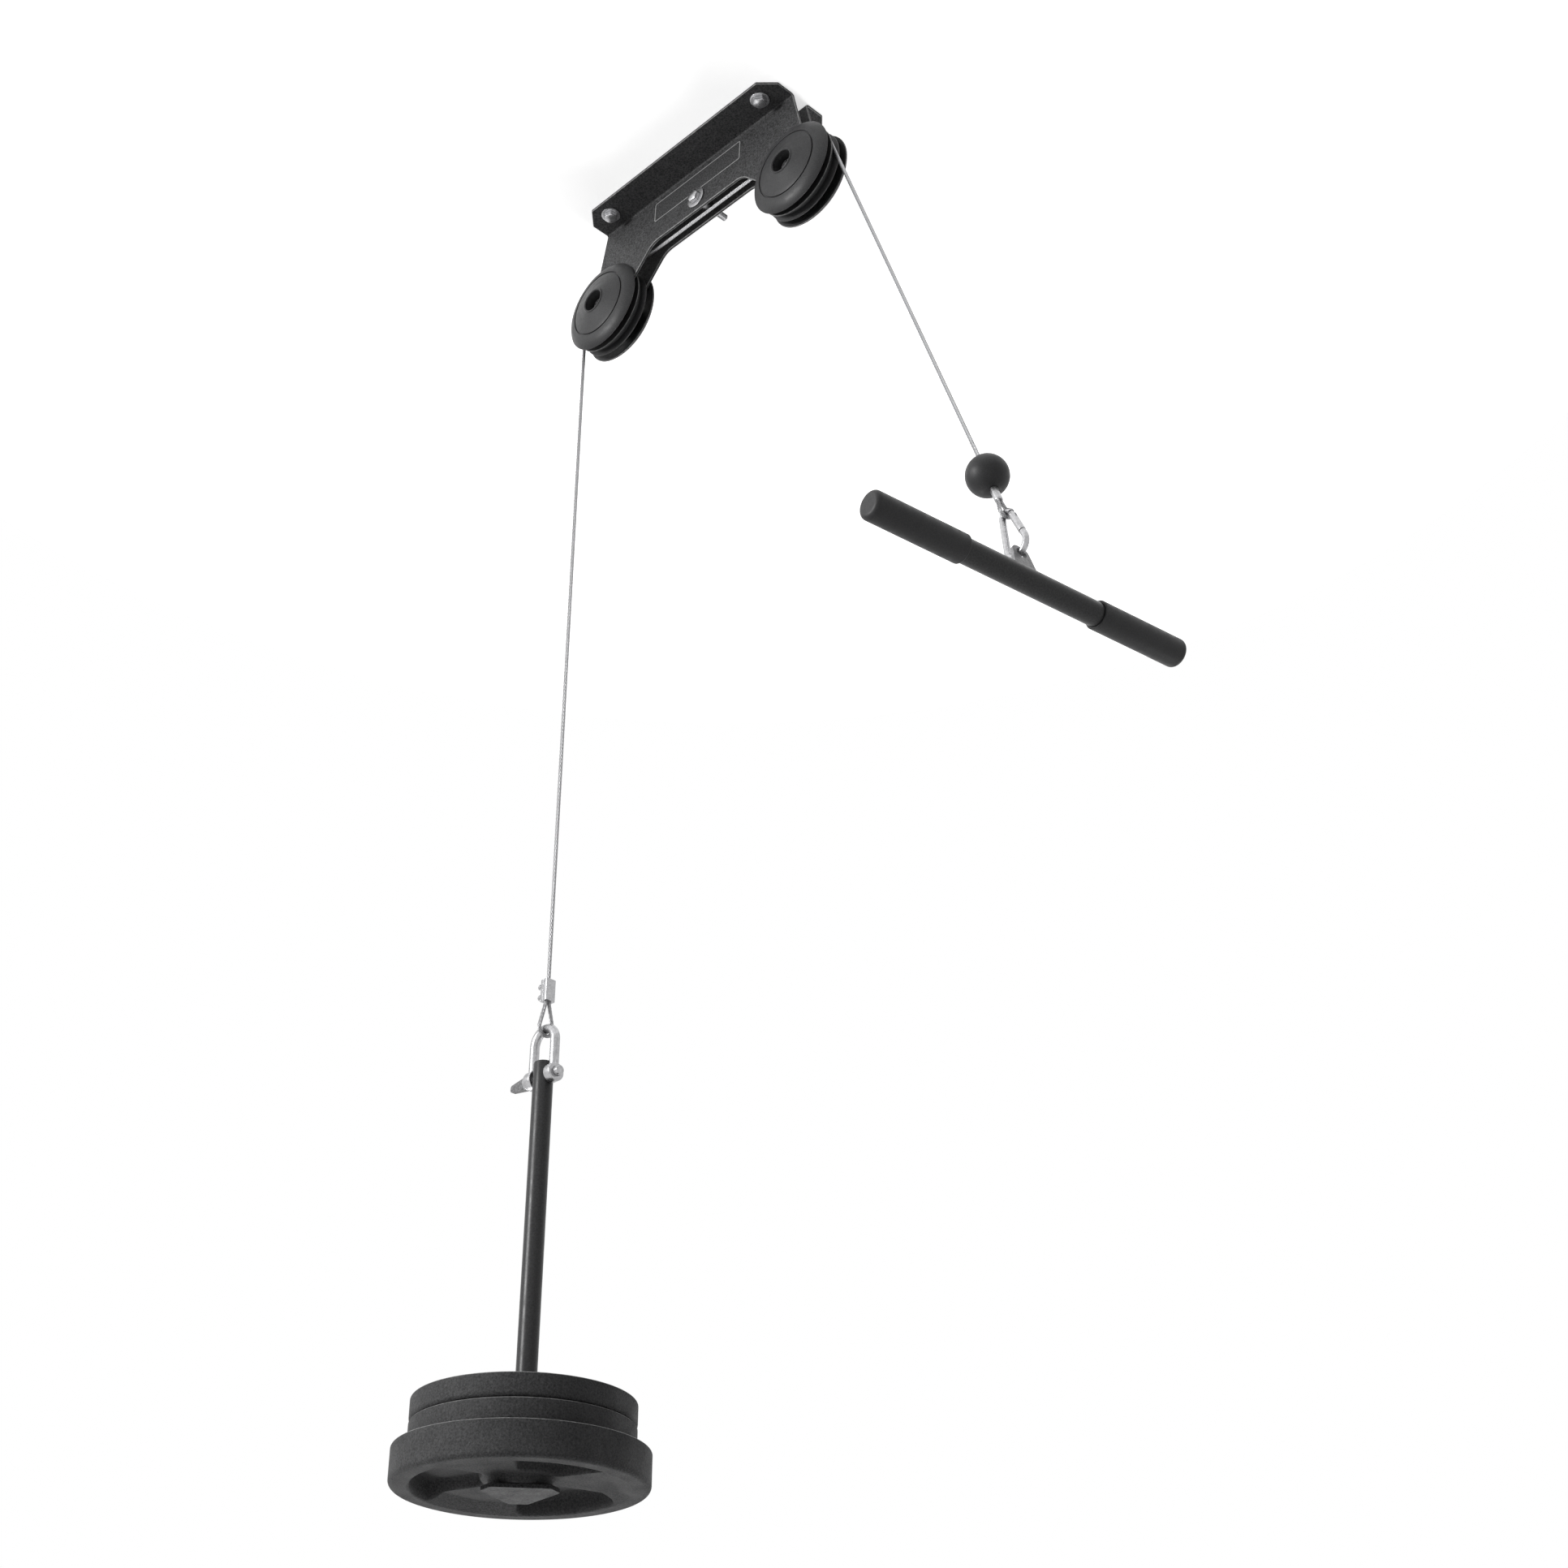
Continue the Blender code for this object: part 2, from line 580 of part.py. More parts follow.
def ball_cage(name, frame):
    """The ring of balls in its cage."""
    pitch = (BEARING_INNER + BEARING_OUTER) / 2
    thin = CAGE_THICKNESS / 2
    cage = ring(name, pitch - thin, pitch + thin, -BALL_RADIUS / 2, BALL_RADIUS / 2, 12)
    piece = add(name, cage, "bearing_steel", frame)
    bm = bmesh.new()
    for i in range(BALL_COUNT):
        angle = 2 * math.pi * (i + 0.5) / BALL_COUNT
        spot = at(pitch * math.cos(angle), pitch * math.sin(angle), 0)
        bmesh.ops.create_icosphere(bm, subdivisions=2, radius=BALL_RADIUS, matrix=spot)
    boolean(piece, helper(name + "_set", finished(bm, name + "_set"), frame), "UNION")
    return piece


def pulley(side, x, spin):
    """One pulley: covers outside the webs, and a ball-bearing wheel on a sleeve and bolt between them."""
    axle = at(x, 0, AXLE_Z) @ ALONG_Y
    back = at(x, 0, AXLE_Z) @ turn("X", math.radians(90))
    for where, frame in (("near", back), ("far", axle)):
        cover = turned(f"{side}_{where}_cover", cover_profile(), 24, closed=True)
        add(f"{side}_{where}_cover", cover, "black_plastic", frame @ at(0, 0, WEB_OUT))
    seat = WEB_OUT + COVER_FLOOR + GAP
    bolt(f"{side}_axle_bolt", 2 * seat + NUT_HEIGHT + AXLE_BOLT_TAIL, axle @ at(0, 0, -seat))
    nut(f"{side}_axle_nut", axle @ at(0, 0, seat))
    half = WEB_IN - GAP
    sleeve = ring(f"{side}_axle_sleeve", BOLT_RADIUS + FIT, BEARING_INNER - FIT, -half, half, 14)
    add(f"{side}_axle_sleeve", sleeve, "bearing_steel", axle)
    inner = turned(f"{side}_bearing_inner_ring", race(1, BEARING_INNER), 16, closed=True)
    add(f"{side}_bearing_inner_ring", inner, "bearing_steel", axle)
    ball_cage(f"{side}_bearing_balls", axle)
    outer = turned(f"{side}_bearing_outer_ring", race(-1, BEARING_OUTER), 20, closed=True)
    add(f"{side}_bearing_outer_ring", outer, "bearing_steel", axle, spin)
    wheel = turned(f"{side}_pulley_wheel", wheel_profile(), 24, closed=True)
    add(f"{side}_pulley_wheel", wheel, "black_plastic", axle, spin)


def rope():
    """The taut rope: up to the weight wheel, over both wheels, and down to the stop ball."""
    over = arc((WEIGHT_PULLEY_X, AXLE_Z), ROPE_PITCH_RADIUS, math.pi, math.pi / 2, 9)
    over += arc((HANDLE_PULLEY_X, AXLE_Z), ROPE_PITCH_RADIUS, math.pi / 2, ROPE_SLANT, 8)
    tube("rope_over_pulleys", [(x, 0, z) for x, z in over], ROPE_RADIUS, "wire_rope")
    heights = (AXLE_Z - GAP, (AXLE_Z + CLAMP_TOP) / 2, CLAMP_TOP + GAP)
    down = [(WEIGHT_X, 0, z) for z in heights]
    tube("weight_rope_run", down, ROPE_RADIUS, "wire_rope", parent="weight_rope_pivot")
    length = HANDLE_ROPE_LENGTH + FERRULE_START - GAP
    slant = [TANGENT + PULL * s for s in (GAP, length / 2, length)]
    tube("handle_rope_run", slant, ROPE_RADIUS, "wire_rope", parent="handle_rope_pivot")


def rope_clamp():
    """A steel block clamped on the rope with two screws in its left side, and the rope eye below it."""
    outline = rounded(rectangle(CLAMP_WIDTH, CLAMP_DEPTH), [CLAMP_CORNER] * 4, steps=2)
    block = prism("rope_clamp", outline, CLAMP_BOTTOM, CLAMP_TOP)
    piece = add("rope_clamp", block, "zinc", at(WEIGHT_X, 0, 0), "weight_lift_pivot")
    tools = []
    middle = (CLAMP_TOP + CLAMP_BOTTOM) / 2
    for word, up in (("upper", 0.5), ("lower", -0.5)):
        place = (WEIGHT_X - CLAMP_WIDTH / 2, CLAMP_SCREW_Y, middle + up * CLAMP_SCREW_SPACING)
        spot = at(*place) @ ALONG_X
        depth = CLAMP_SCREW_DEPTH + GAP
        tools.append((rod("tool", CLAMP_SCREW_RADIUS + FIT, -depth, depth, 10), spot))
        crown = -GAP - CLAMP_HEAD_HEIGHT
        profile = [(0, CLAMP_SCREW_DEPTH), (CLAMP_SCREW_RADIUS, CLAMP_SCREW_DEPTH),
                   (CLAMP_SCREW_RADIUS, -GAP), (CLAMP_HEAD_RADIUS, -GAP), (CLAMP_HEAD_RADIUS, crown * 0.6),
                   (CLAMP_HEAD_RADIUS * 0.6, crown), (0, crown)]
        screw = turned(f"clamp_screw_{word}", profile, 10)
        add(f"clamp_screw_{word}", screw, "zinc", spot, "weight_lift_pivot")
    holes = merged("rope_clamp_holes", tools)
    boolean(piece, helper("rope_clamp_holes", holes, Matrix.Identity(4)), "DIFFERENCE")
    points = eye_points(ROPE_RADIUS + GAP, WEIGHT_EYE_LENGTH - GAP, WEIGHT_EYE_RADIUS, -CLAMP_BOTTOM + GAP)
    tube("weight_rope_eye", points, ROPE_RADIUS, "wire_rope", at(WEIGHT_X, 0, 0), "weight_lift_pivot")


def shackle():
    """A D-shackle: a bent bow with two round ears, and a pin with a collar and a flat tab."""
    half = SHACKLE_HALF_WIDTH
    bend = arc((0, BOW_CENTRE_Z), half, math.pi, 0, 12)
    path = [(-half, 0, SHACKLE_PIN_Z)] + [(x, 0, z) for x, z in bend] + [(half, 0, SHACKLE_PIN_Z)]
    wire = swept_mesh("shackle_bow", path, SHACKLE_WIRE, 2)
    bow = add("shackle_bow", wire, "zinc", at(WEIGHT_X, 0, 0), "shackle_pivot")
    pin_line = at(WEIGHT_X, 0, SHACKLE_PIN_Z) @ ALONG_X
    inside = ROD_RADIUS + 2 * GAP
    outside = half + SHACKLE_WIRE
    ears = [(rod("ear", SHACKLE_EAR_RADIUS, low, high, 20), pin_line)
            for low, high in ((-outside, -inside), (inside, outside))]
    boolean(bow, helper("shackle_ears", merged("shackle_ears", ears), Matrix.Identity(4)), "UNION")
    tool = rod("shackle_bore", SHACKLE_PIN_RADIUS + FIT, -2 * half, 2 * half, 20)
    boolean(bow, helper("shackle_bore", tool, pin_line), "DIFFERENCE")
    tip = outside + SHACKLE_PIN_TIP
    seat = -outside - GAP
    tab_start = seat - SHACKLE_COLLAR
    profile = [(0, tip), (SHACKLE_PIN_RADIUS - SHACKLE_PIN_CHAMFER, tip),
               (SHACKLE_PIN_RADIUS, tip - SHACKLE_PIN_CHAMFER), (SHACKLE_PIN_RADIUS, seat),
               (SHACKLE_COLLAR_RADIUS, seat), (SHACKLE_COLLAR_RADIUS, tab_start), (0, tab_start)]
    pin = add("shackle_pin", turned("shackle_pin", profile, 20), "zinc", pin_line, "shackle_pivot")
    wide = SHACKLE_TAB_WIDTH / 2
    narrow = SHACKLE_TAB_TIP / 2
    corners = [(0, -wide), (-SHACKLE_TAB_LENGTH, -narrow), (-SHACKLE_TAB_LENGTH, narrow), (0, wide)]
    outline = rounded(corners, [0, SHACKLE_TAB_CORNER, SHACKLE_TAB_CORNER, 0], steps=2)
    tab = prism("shackle_tab", outline, -SHACKLE_TAB_THICKNESS / 2, SHACKLE_TAB_THICKNESS / 2)
    tab_frame = at(WEIGHT_X + tab_start + SHACKLE_COLLAR / 2, 0, SHACKLE_PIN_Z) @ turn("X", math.radians(90))
    boolean(pin, helper("shackle_tab", tab, tab_frame), "UNION")


def loading_pin():
    """The rod that carries the plates, with its cross hole, and the plate welded to its foot."""
    edge = ROD_RADIUS - ROD_CHAMFER
    profile = [(0, ROD_BOTTOM), (ROD_RADIUS, ROD_BOTTOM), (ROD_RADIUS, ROD_TOP - ROD_CHAMFER),
               (edge, ROD_TOP), (0, ROD_TOP)]
    mesh = turned("loading_pin", profile, 24)
    piece = add("loading_pin", mesh, "black_powder_coat", at(WEIGHT_X, 0, 0), "loading_pin_pivot")
    tool = rod("loading_pin_bore", SHACKLE_PIN_RADIUS + FIT, -2 * ROD_RADIUS, 2 * ROD_RADIUS, 16)
    line = at(WEIGHT_X, 0, SHACKLE_PIN_Z) @ ALONG_X
    boolean(piece, helper("loading_pin_bore", tool, line), "DIFFERENCE")
    corners = []
    for i in range(3):
        spin = turn("Z", BASE_TURN + i * 2 * math.pi / 3)
        for y in (-BASE_CORNER / 2, BASE_CORNER / 2):
            corner = spin @ Vector((BASE_REACH, y, 0))
            corners.append((corner.x, corner.y))
    outline = rounded(corners, [BASE_ROUND] * 6, steps=2)
    base = prism("pin_base", outline, BASE_TOP - BASE_THICKNESS, BASE_TOP)
    add("pin_base", base, "black_powder_coat", at(WEIGHT_X, 0, 0), "loading_pin_pivot")


def plate_profile(radius, thickness):
    """Half section of a weight plate, dished on both faces between its rim and its hub."""
    rim = radius - RIM_WIDTH
    floor = rim - DISH_BEVEL
    hub_foot = HUB_RADIUS + HUB_DRAFT
    upper = thickness - TOP_DISH_DEPTH
    lower_face = [(PLATE_BORE_RADIUS, 0), (HUB_RADIUS, 0), (hub_foot, DISH_DEPTH), (floor, DISH_DEPTH),
                  (rim, 0)]
    edge = [(radius - LOWER_ROUND, 0), (radius - LOWER_ROUND * 0.3, LOWER_ROUND * 0.3), (radius, LOWER_ROUND),
            (radius, thickness - PLATE_EDGE), (radius - PLATE_EDGE, thickness)]
    upper_face = [(rim, thickness), (floor, upper), (hub_foot, upper), (HUB_RADIUS, thickness),
                  (PLATE_BORE_RADIUS, thickness)]
    return lower_face + edge + upper_face


def pocket_outline(outer):
    """A kidney-shaped pocket between two spokes, about the plate's axis."""
    corners = arc((0, 0), outer, -POCKET_SPAN / 2, POCKET_SPAN / 2, 6)
    corners += arc((0, 0), POCKET_INNER, POCKET_SPAN / 2, -POCKET_SPAN / 2, 4)
    wide = POCKET_CORNER
    narrow = POCKET_CORNER / 2
    radii = [wide] + [0] * 5 + [wide, narrow] + [0] * 3 + [narrow]
    return rounded(corners, radii, steps=2)


def weight_plate(name, radius, thickness, bottom, segments, parent):
    mesh = turned(name, plate_profile(radius, thickness), segments, closed=True)
    return add(name, mesh, "plate_black", at(WEIGHT_X, 0, bottom), parent)


def weight_plates():
    """A large plate with three pockets in its lower face, and two small plates on it."""
    large = weight_plate("large_plate", LARGE_RADIUS, LARGE_THICKNESS, LARGE_BOTTOM, 40, "large_plate_pivot")
    outline = pocket_outline(LARGE_RADIUS - RIM_WIDTH - POCKET_MARGIN)
    tools = []
    for i in range(POCKET_COUNT):
        spin = turn("Z", POCKET_TURN + i * 2 * math.pi / POCKET_COUNT)
        tools.append((prism("pocket", outline, -LARGE_THICKNESS, POCKET_DEPTH), spin))
    pockets = merged("large_plate_pockets", tools)
    boolean(large, helper("large_plate_pockets", pockets, at(WEIGHT_X, 0, LARGE_BOTTOM)), "DIFFERENCE")
    for word, bottom in (("lower", SMALL_LOWER_BOTTOM), ("upper", SMALL_UPPER_BOTTOM)):
        weight_plate(f"small_plate_{word}", SMALL_RADIUS, SMALL_THICKNESS, bottom, 32, f"small_{word}_pivot")


def handle_end():
    """The stop ball, the pressed ferrule and the rope eye at the handle end of the rope."""
    mouth = FERRULE_RADIUS + FIT
    rope_hole = ROPE_RADIUS + FIT
    low = math.asin(mouth / BALL_STOP_RADIUS)
    high = math.asin(rope_hole / BALL_STOP_RADIUS)
    skin = [(r, z) for z, r in arc((0, 0), BALL_STOP_RADIUS, math.pi - low, high, 11)]
    profile = skin + [(rope_hole, -FERRULE_START + GAP), (mouth, -FERRULE_START + GAP)]
    ball = turned("stop_ball", profile, 20, closed=True)
    add("stop_ball", ball, "rubber", ROPE_END_FRAME, "handle_stop_pivot")
    end = FERRULE_START + FERRULE_LENGTH
    profile = [(0, -end), (FERRULE_RADIUS - FERRULE_TAPER / 2, -end), (FERRULE_RADIUS, -end + FERRULE_TAPER),
               (FERRULE_RADIUS, -FERRULE_START), (0, -FERRULE_START)]
    add("ferrule", turned("ferrule", profile, 14), "zinc", ROPE_END_FRAME, "handle_eye_pivot")
    points = eye_points(ROPE_RADIUS + GAP, HANDLE_EYE_LENGTH - GAP, HANDLE_EYE_RADIUS, end + GAP)
    tube("handle_rope_eye", points, ROPE_RADIUS, "wire_rope", ROPE_END_FRAME, "handle_eye_pivot")


def hook_side():
    """The lean of the carabiner's straight gate side, and the points where it touches the two bends."""
    lean = math.asin((HOOK_LOW_RADIUS - HOOK_TOP_RADIUS) / HOOK_CENTRES)
    top = Vector((HOOK_TOP_RADIUS * math.cos(lean), HOOK_TOP_RADIUS * math.sin(lean)))
    low = Vector((HOOK_LOW_RADIUS * math.cos(lean), -HOOK_CENTRES + HOOK_LOW_RADIUS * math.sin(lean)))
    return lean, top, low


def carabiner():
    """The snap hook: a bent wire body with a flat tongue, a slotted gate on a pin, in its local XZ plane."""
    lean, top, low = hook_side()
    down = (low - top).normalized()

    def on_side(s):
        spot = top + down * s
        return (spot.x, 0, spot.y)

    low_bend = arc((0, -HOOK_CENTRES), HOOK_LOW_RADIUS, lean, -math.pi - lean, 11)
    top_bend = arc((0, 0), HOOK_TOP_RADIUS, math.pi - lean, lean, 8)
    path = [on_side(GATE_END + GATE_CLEARANCE)] + [(x, 0, z) for x, z in low_bend + top_bend]
    wire = swept_mesh("carabiner_body", path, HOOK_WIRE, 1)
    body = add("carabiner_body", wire, "zinc", HOOK_FRAME, "carabiner_pivot")
    side_frame = HOOK_FRAME @ at(*on_side(0)) @ turn("Y", math.atan2(-down.x, -down.y))
    tongue = prism("hook_tongue", rectangle(TONGUE_WIDTH, TONGUE), -TONGUE_LENGTH, HOOK_WIRE / 4)
    boolean(body, helper("hook_tongue", tongue, side_frame), "UNION")
    pin_line = side_frame @ at(0, 0, -GATE_PIN_PLACE) @ ALONG_Y
    bore = rod("hook_bore", GATE_PIN_RADIUS + FIT, -2 * GATE_RADIUS, 2 * GATE_RADIUS, 10)
    boolean(body, helper("hook_bore", bore, pin_line), "DIFFERENCE")
    thin = GATE_RADIUS - GATE_BEVEL
    profile = [(0, -GATE_END), (thin, -GATE_END), (GATE_RADIUS, -GATE_END + GATE_BEVEL),
               (GATE_RADIUS, -GATE_START - GATE_BEVEL), (thin, -GATE_START), (0, -GATE_START)]
    gate = add("carabiner_gate", turned("carabiner_gate", profile, 12), "zinc", side_frame, "gate_pivot")
    slot_low = -GATE_PIN_PLACE - GATE_SLOT_DEPTH
    slot = prism("gate_slot", rectangle(4 * GATE_RADIUS, GATE_SLOT), slot_low, GATE_RADIUS)
    boolean(gate, helper("gate_slot", slot, side_frame), "DIFFERENCE")
    bore = rod("gate_bore", GATE_PIN_RADIUS + FIT, -2 * GATE_RADIUS, 2 * GATE_RADIUS, 10)
    boolean(gate, helper("gate_bore", bore, pin_line), "DIFFERENCE")
    pin = rod("carabiner_gate_pin", GATE_PIN_RADIUS, -GATE_RADIUS, GATE_RADIUS, 10)
    add("carabiner_gate_pin", pin, "zinc", pin_line, "carabiner_pivot")


def bar():
    """The pull-down bar: a tube, a lug welded at its middle and a closed rubber grip on each end."""
    across = BAR_FRAME @ ALONG_Y
    reach = BAR_LENGTH / 2 - GRIP_END - GAP
    tube_mesh = ring("bar_tube", TUBE_RADIUS - TUBE_WALL, TUBE_RADIUS, -reach, reach, 24)
    add("bar_tube", tube_mesh, "black_powder_coat", across, "bar_pivot")
    hole_z = HOOK_TO_BAR + HOOK_WIRE + LUG_SLACK - LUG_HOLE_RADIUS
    crown = hole_z + LUG_HOLE_RADIUS + LUG_CROWN
    foot = TUBE_RADIUS + GAP
    corners = [(-LUG_BASE / 2, foot), (LUG_BASE / 2, foot), (LUG_TOP / 2, crown), (-LUG_TOP / 2, crown)]
    outline = rounded(corners, [0, 0, LUG_CORNER, LUG_CORNER], steps=4)
    upright = BAR_FRAME @ Matrix(((0, 0, 1, 0), (1, 0, 0, 0), (0, 1, 0, 0), (0, 0, 0, 1)))
    mesh = prism("bar_lug", outline, -LUG_THICKNESS / 2, LUG_THICKNESS / 2)
    lug = add("bar_lug", mesh, "black_powder_coat", upright, "bar_pivot")
    tool = rod("lug_bore", LUG_HOLE_RADIUS, -LUG_THICKNESS, LUG_THICKNESS, 16)
    boolean(lug, helper("lug_bore", tool, upright @ at(0, hole_z, 0)), "DIFFERENCE")
    end = BAR_LENGTH / 2
    bore = TUBE_RADIUS + GAP
    mouth = end - GRIP_LENGTH
    shoulder = (GRIP_RADIUS - GRIP_ROUND, end - GRIP_ROUND)
    profile = [(bore, mouth), (GRIP_RADIUS - GRIP_LIP, mouth), (GRIP_RADIUS, mouth + GRIP_LIP),
               (GRIP_RADIUS, end - GRIP_ROUND)]
    profile += arc(shoulder, GRIP_ROUND, math.radians(30), math.radians(90), 2)
    profile += [(0, end), (0, end - GRIP_END), (bore, end - GRIP_END)]
    for name, facing in (("left_grip", turn("X", math.radians(180))), ("right_grip", Matrix.Identity(4))):
        add(name, closed_grip(name, profile), "rubber", across @ facing, "bar_pivot")


def closed_grip(name, profile):
    """A cup: the profile starts and ends on the bore, and touches the axis at its closed end."""
    bm = bmesh.new()
    verts = [bm.verts.new((r, 0, z)) for r, z in profile]
    loop = [(a, b) for a, b in zip(verts, verts[1:] + verts[:1]) if not (a.co.x == 0 and b.co.x == 0)]
    edges = [bm.edges.new(pair) for pair in loop]
    bmesh.ops.spin(bm, geom=verts + edges, cent=(0, 0, 0), axis=(0, 0, 1), angle=2 * math.pi, steps=20,
                   use_merge=True)
    bmesh.ops.remove_doubles(bm, verts=bm.verts, dist=1e-6)
    return finished(bm, name)


pivot("weight_wheel_spin", (WEIGHT_PULLEY_X, 0, AXLE_Z))
pivot("handle_wheel_spin", (HANDLE_PULLEY_X, 0, AXLE_Z))
pivot("weight_rope_pivot", (WEIGHT_PULLEY_X, 0, AXLE_Z))
pivot("weight_lift_pivot", (WEIGHT_X, 0, CLAMP_TOP), "weight_rope_pivot")
pivot("shackle_pivot", (WEIGHT_X, 0, BOW_CENTRE_Z), "weight_lift_pivot")
pivot("loading_pin_pivot", (WEIGHT_X, 0, SHACKLE_PIN_Z), "shackle_pivot")
pivot("large_plate_pivot", (WEIGHT_X, 0, LARGE_BOTTOM), "loading_pin_pivot")
pivot("small_lower_pivot", (WEIGHT_X, 0, SMALL_LOWER_BOTTOM), "large_plate_pivot")
pivot("small_upper_pivot", (WEIGHT_X, 0, SMALL_UPPER_BOTTOM), "small_lower_pivot")
pivot("handle_rope_pivot", (HANDLE_PULLEY_X, 0, AXLE_Z))
pivot("handle_stop_pivot", BALL_CENTRE, "handle_rope_pivot")
pivot("handle_eye_pivot", BALL_CENTRE + FERRULE_START * PULL, "handle_stop_pivot")
pivot("carabiner_pivot", HOOK_CENTRE, "handle_eye_pivot")
gate_lean, gate_top, gate_low = hook_side()
gate_spot = gate_top + (gate_low - gate_top).normalized() * GATE_PIN_PLACE
pivot("gate_pivot", HOOK_FRAME @ Vector((gate_spot.x, 0, gate_spot.y)), "carabiner_pivot")
pivot("bar_pivot", HOOK_FRAME @ Vector((0, 0, -HOOK_LOW_WIRE)), "carabiner_pivot")

side_plate("near_side_plate", -1)
side_plate("far_side_plate", 1)
ceiling_fasteners()
centre_fasteners()
pulley("weight", WEIGHT_PULLEY_X, "weight_wheel_spin")
pulley("handle", HANDLE_PULLEY_X, "handle_wheel_spin")
rope()
rope_clamp()
shackle()
loading_pin()
weight_plates()
handle_end()
carabiner()
bar()
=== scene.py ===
"""Looks of the ceiling pulley: fine surfaces, materials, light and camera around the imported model."""

import math

import bmesh
import bpy
from mathutils import Matrix, Vector

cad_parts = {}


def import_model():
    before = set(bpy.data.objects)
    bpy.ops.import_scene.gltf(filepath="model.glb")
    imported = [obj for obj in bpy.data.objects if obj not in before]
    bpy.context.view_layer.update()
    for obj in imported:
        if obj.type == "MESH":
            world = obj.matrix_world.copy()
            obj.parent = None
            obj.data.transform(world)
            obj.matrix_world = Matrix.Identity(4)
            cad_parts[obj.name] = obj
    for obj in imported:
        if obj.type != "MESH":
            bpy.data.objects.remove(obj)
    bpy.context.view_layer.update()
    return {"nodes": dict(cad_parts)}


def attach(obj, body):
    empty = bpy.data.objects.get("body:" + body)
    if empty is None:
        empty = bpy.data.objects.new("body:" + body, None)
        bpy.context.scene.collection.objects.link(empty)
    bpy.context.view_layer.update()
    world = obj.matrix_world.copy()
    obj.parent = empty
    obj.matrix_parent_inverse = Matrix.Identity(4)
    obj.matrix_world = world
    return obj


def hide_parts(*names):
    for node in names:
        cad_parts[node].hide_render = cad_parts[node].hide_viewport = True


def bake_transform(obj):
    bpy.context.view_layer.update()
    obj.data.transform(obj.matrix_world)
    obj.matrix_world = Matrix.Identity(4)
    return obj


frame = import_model()

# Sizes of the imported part, in metres
GAP = 0.0003
FIT = 0.0003
SHEET = 0.004
PLATE_LENGTH = 0.390
WEB_IN = 0.011
WEB_OUT = WEB_IN + SHEET
FLANGE_WIDTH = 0.0505
FLANGE_CHAMFER = 0.022
BEND_RADIUS = 0.0025
WEB_DEPTH = 0.085
NOTCH_LENGTH = 0.186
NOTCH_FILLET = 0.030
ARM_END_RADIUS = 0.031
BOLT_RADIUS = 0.005
HEAD_FLATS = 0.017
HEAD_HEIGHT = 0.0064
NUT_HEIGHT = 0.008
WASHER_RADIUS = 0.0138
CENTRE_WASHER_RADIUS = 0.016
WASHER_THICKNESS = 0.002
CEILING_BOLT_X = 0.157
CEILING_BOLT_Y = 0.042
CENTRE_BOLT_Z = -0.062
CENTRE_BOLT_TAIL = 0.017
AXLE_BOLT_TAIL = 0.004
ROPE_RADIUS = 0.0025
PULLEY_X = 0.194
AXLE_Z = -0.144
WHEEL_RADIUS = 0.067
WHEEL_WIDTH = 0.016
WHEEL_LIP = 0.0026
ROPE_PITCH_RADIUS = 0.061
COVER_RADIUS = 0.070
COVER_BACK = 0.0025
COVER_DEPTH = 0.0235
COVER_RIM = 0.0015
COVER_RING_RADIUS = 0.051
COVER_SHOULDER = 0.0135
COVER_BULGE = 0.0020
COVER_HOLE_RADIUS = 0.0165
COVER_FLOOR = 0.0058
COVER_WALL = 0.0045
WEIGHT_X = -PULLEY_X - ROPE_PITCH_RADIUS
CLAMP_TOP = AXLE_Z - 1.0591
CLAMP_WIDTH = 0.013
CLAMP_DEPTH = 0.015
CLAMP_HEIGHT = 0.0295
CLAMP_SCREW_SPACING = 0.0145
CLAMP_SCREW_Y = -0.003
CLAMP_HEAD_RADIUS = 0.004
CLAMP_HEAD_HEIGHT = 0.006
CLAMP_BOTTOM = CLAMP_TOP - CLAMP_HEIGHT
WEIGHT_EYE_LENGTH = 0.0458
WEIGHT_EYE_RADIUS = 0.0105
SHACKLE_WIRE = 0.006
SHACKLE_HALF_WIDTH = 0.0195
SHACKLE_LENGTH = 0.0633
SHACKLE_EAR_RADIUS = 0.012
SHACKLE_PIN_RADIUS = 0.0062
SHACKLE_PIN_TIP = 0.007
SHACKLE_COLLAR_RADIUS = 0.0095
SHACKLE_COLLAR = 0.005
SHACKLE_TAB_LENGTH = 0.031
SHACKLE_TAB_WIDTH = 0.0185
SHACKLE_TAB_TIP = 0.0085
SHACKLE_TAB_THICKNESS = 0.006
CROWN_Z = CLAMP_BOTTOM - WEIGHT_EYE_LENGTH + ROPE_RADIUS + GAP + SHACKLE_WIRE
BOW_CENTRE_Z = CROWN_Z - SHACKLE_HALF_WIDTH
SHACKLE_PIN_Z = CROWN_Z - SHACKLE_LENGTH
ROD_RADIUS = 0.0125
ROD_TOP = SHACKLE_PIN_Z + 0.018
ROD_BOTTOM = ROD_TOP - 0.5147
BASE_REACH = 0.045
BASE_CORNER = 0.022
BASE_THICKNESS = 0.005
BASE_TURN = math.radians(23.0)
PLATE_BORE_RADIUS = 0.014
LARGE_RADIUS = 0.1464
LARGE_THICKNESS = 0.0412
SMALL_RADIUS = 0.1288
SMALL_THICKNESS = 0.0272
RIM_WIDTH = 0.021
HUB_RADIUS = 0.033
HUB_DRAFT = 0.004
DISH_DEPTH = 0.010
DISH_BEVEL = 0.022
TOP_DISH_DEPTH = 0.004
LOWER_ROUND = 0.006
PLATE_EDGE = 0.0018
POCKET_DEPTH = 0.024
POCKET_INNER = 0.046
POCKET_SPAN = math.radians(64.0)
POCKET_CORNER = 0.010
POCKET_TURN = math.radians(-10.0)
POCKET_MARGIN = 0.004
ROPE_SLANT = math.radians(18.85)
HANG_SLANT = math.radians(15.6)
BAR_TWIST = math.radians(6.8)
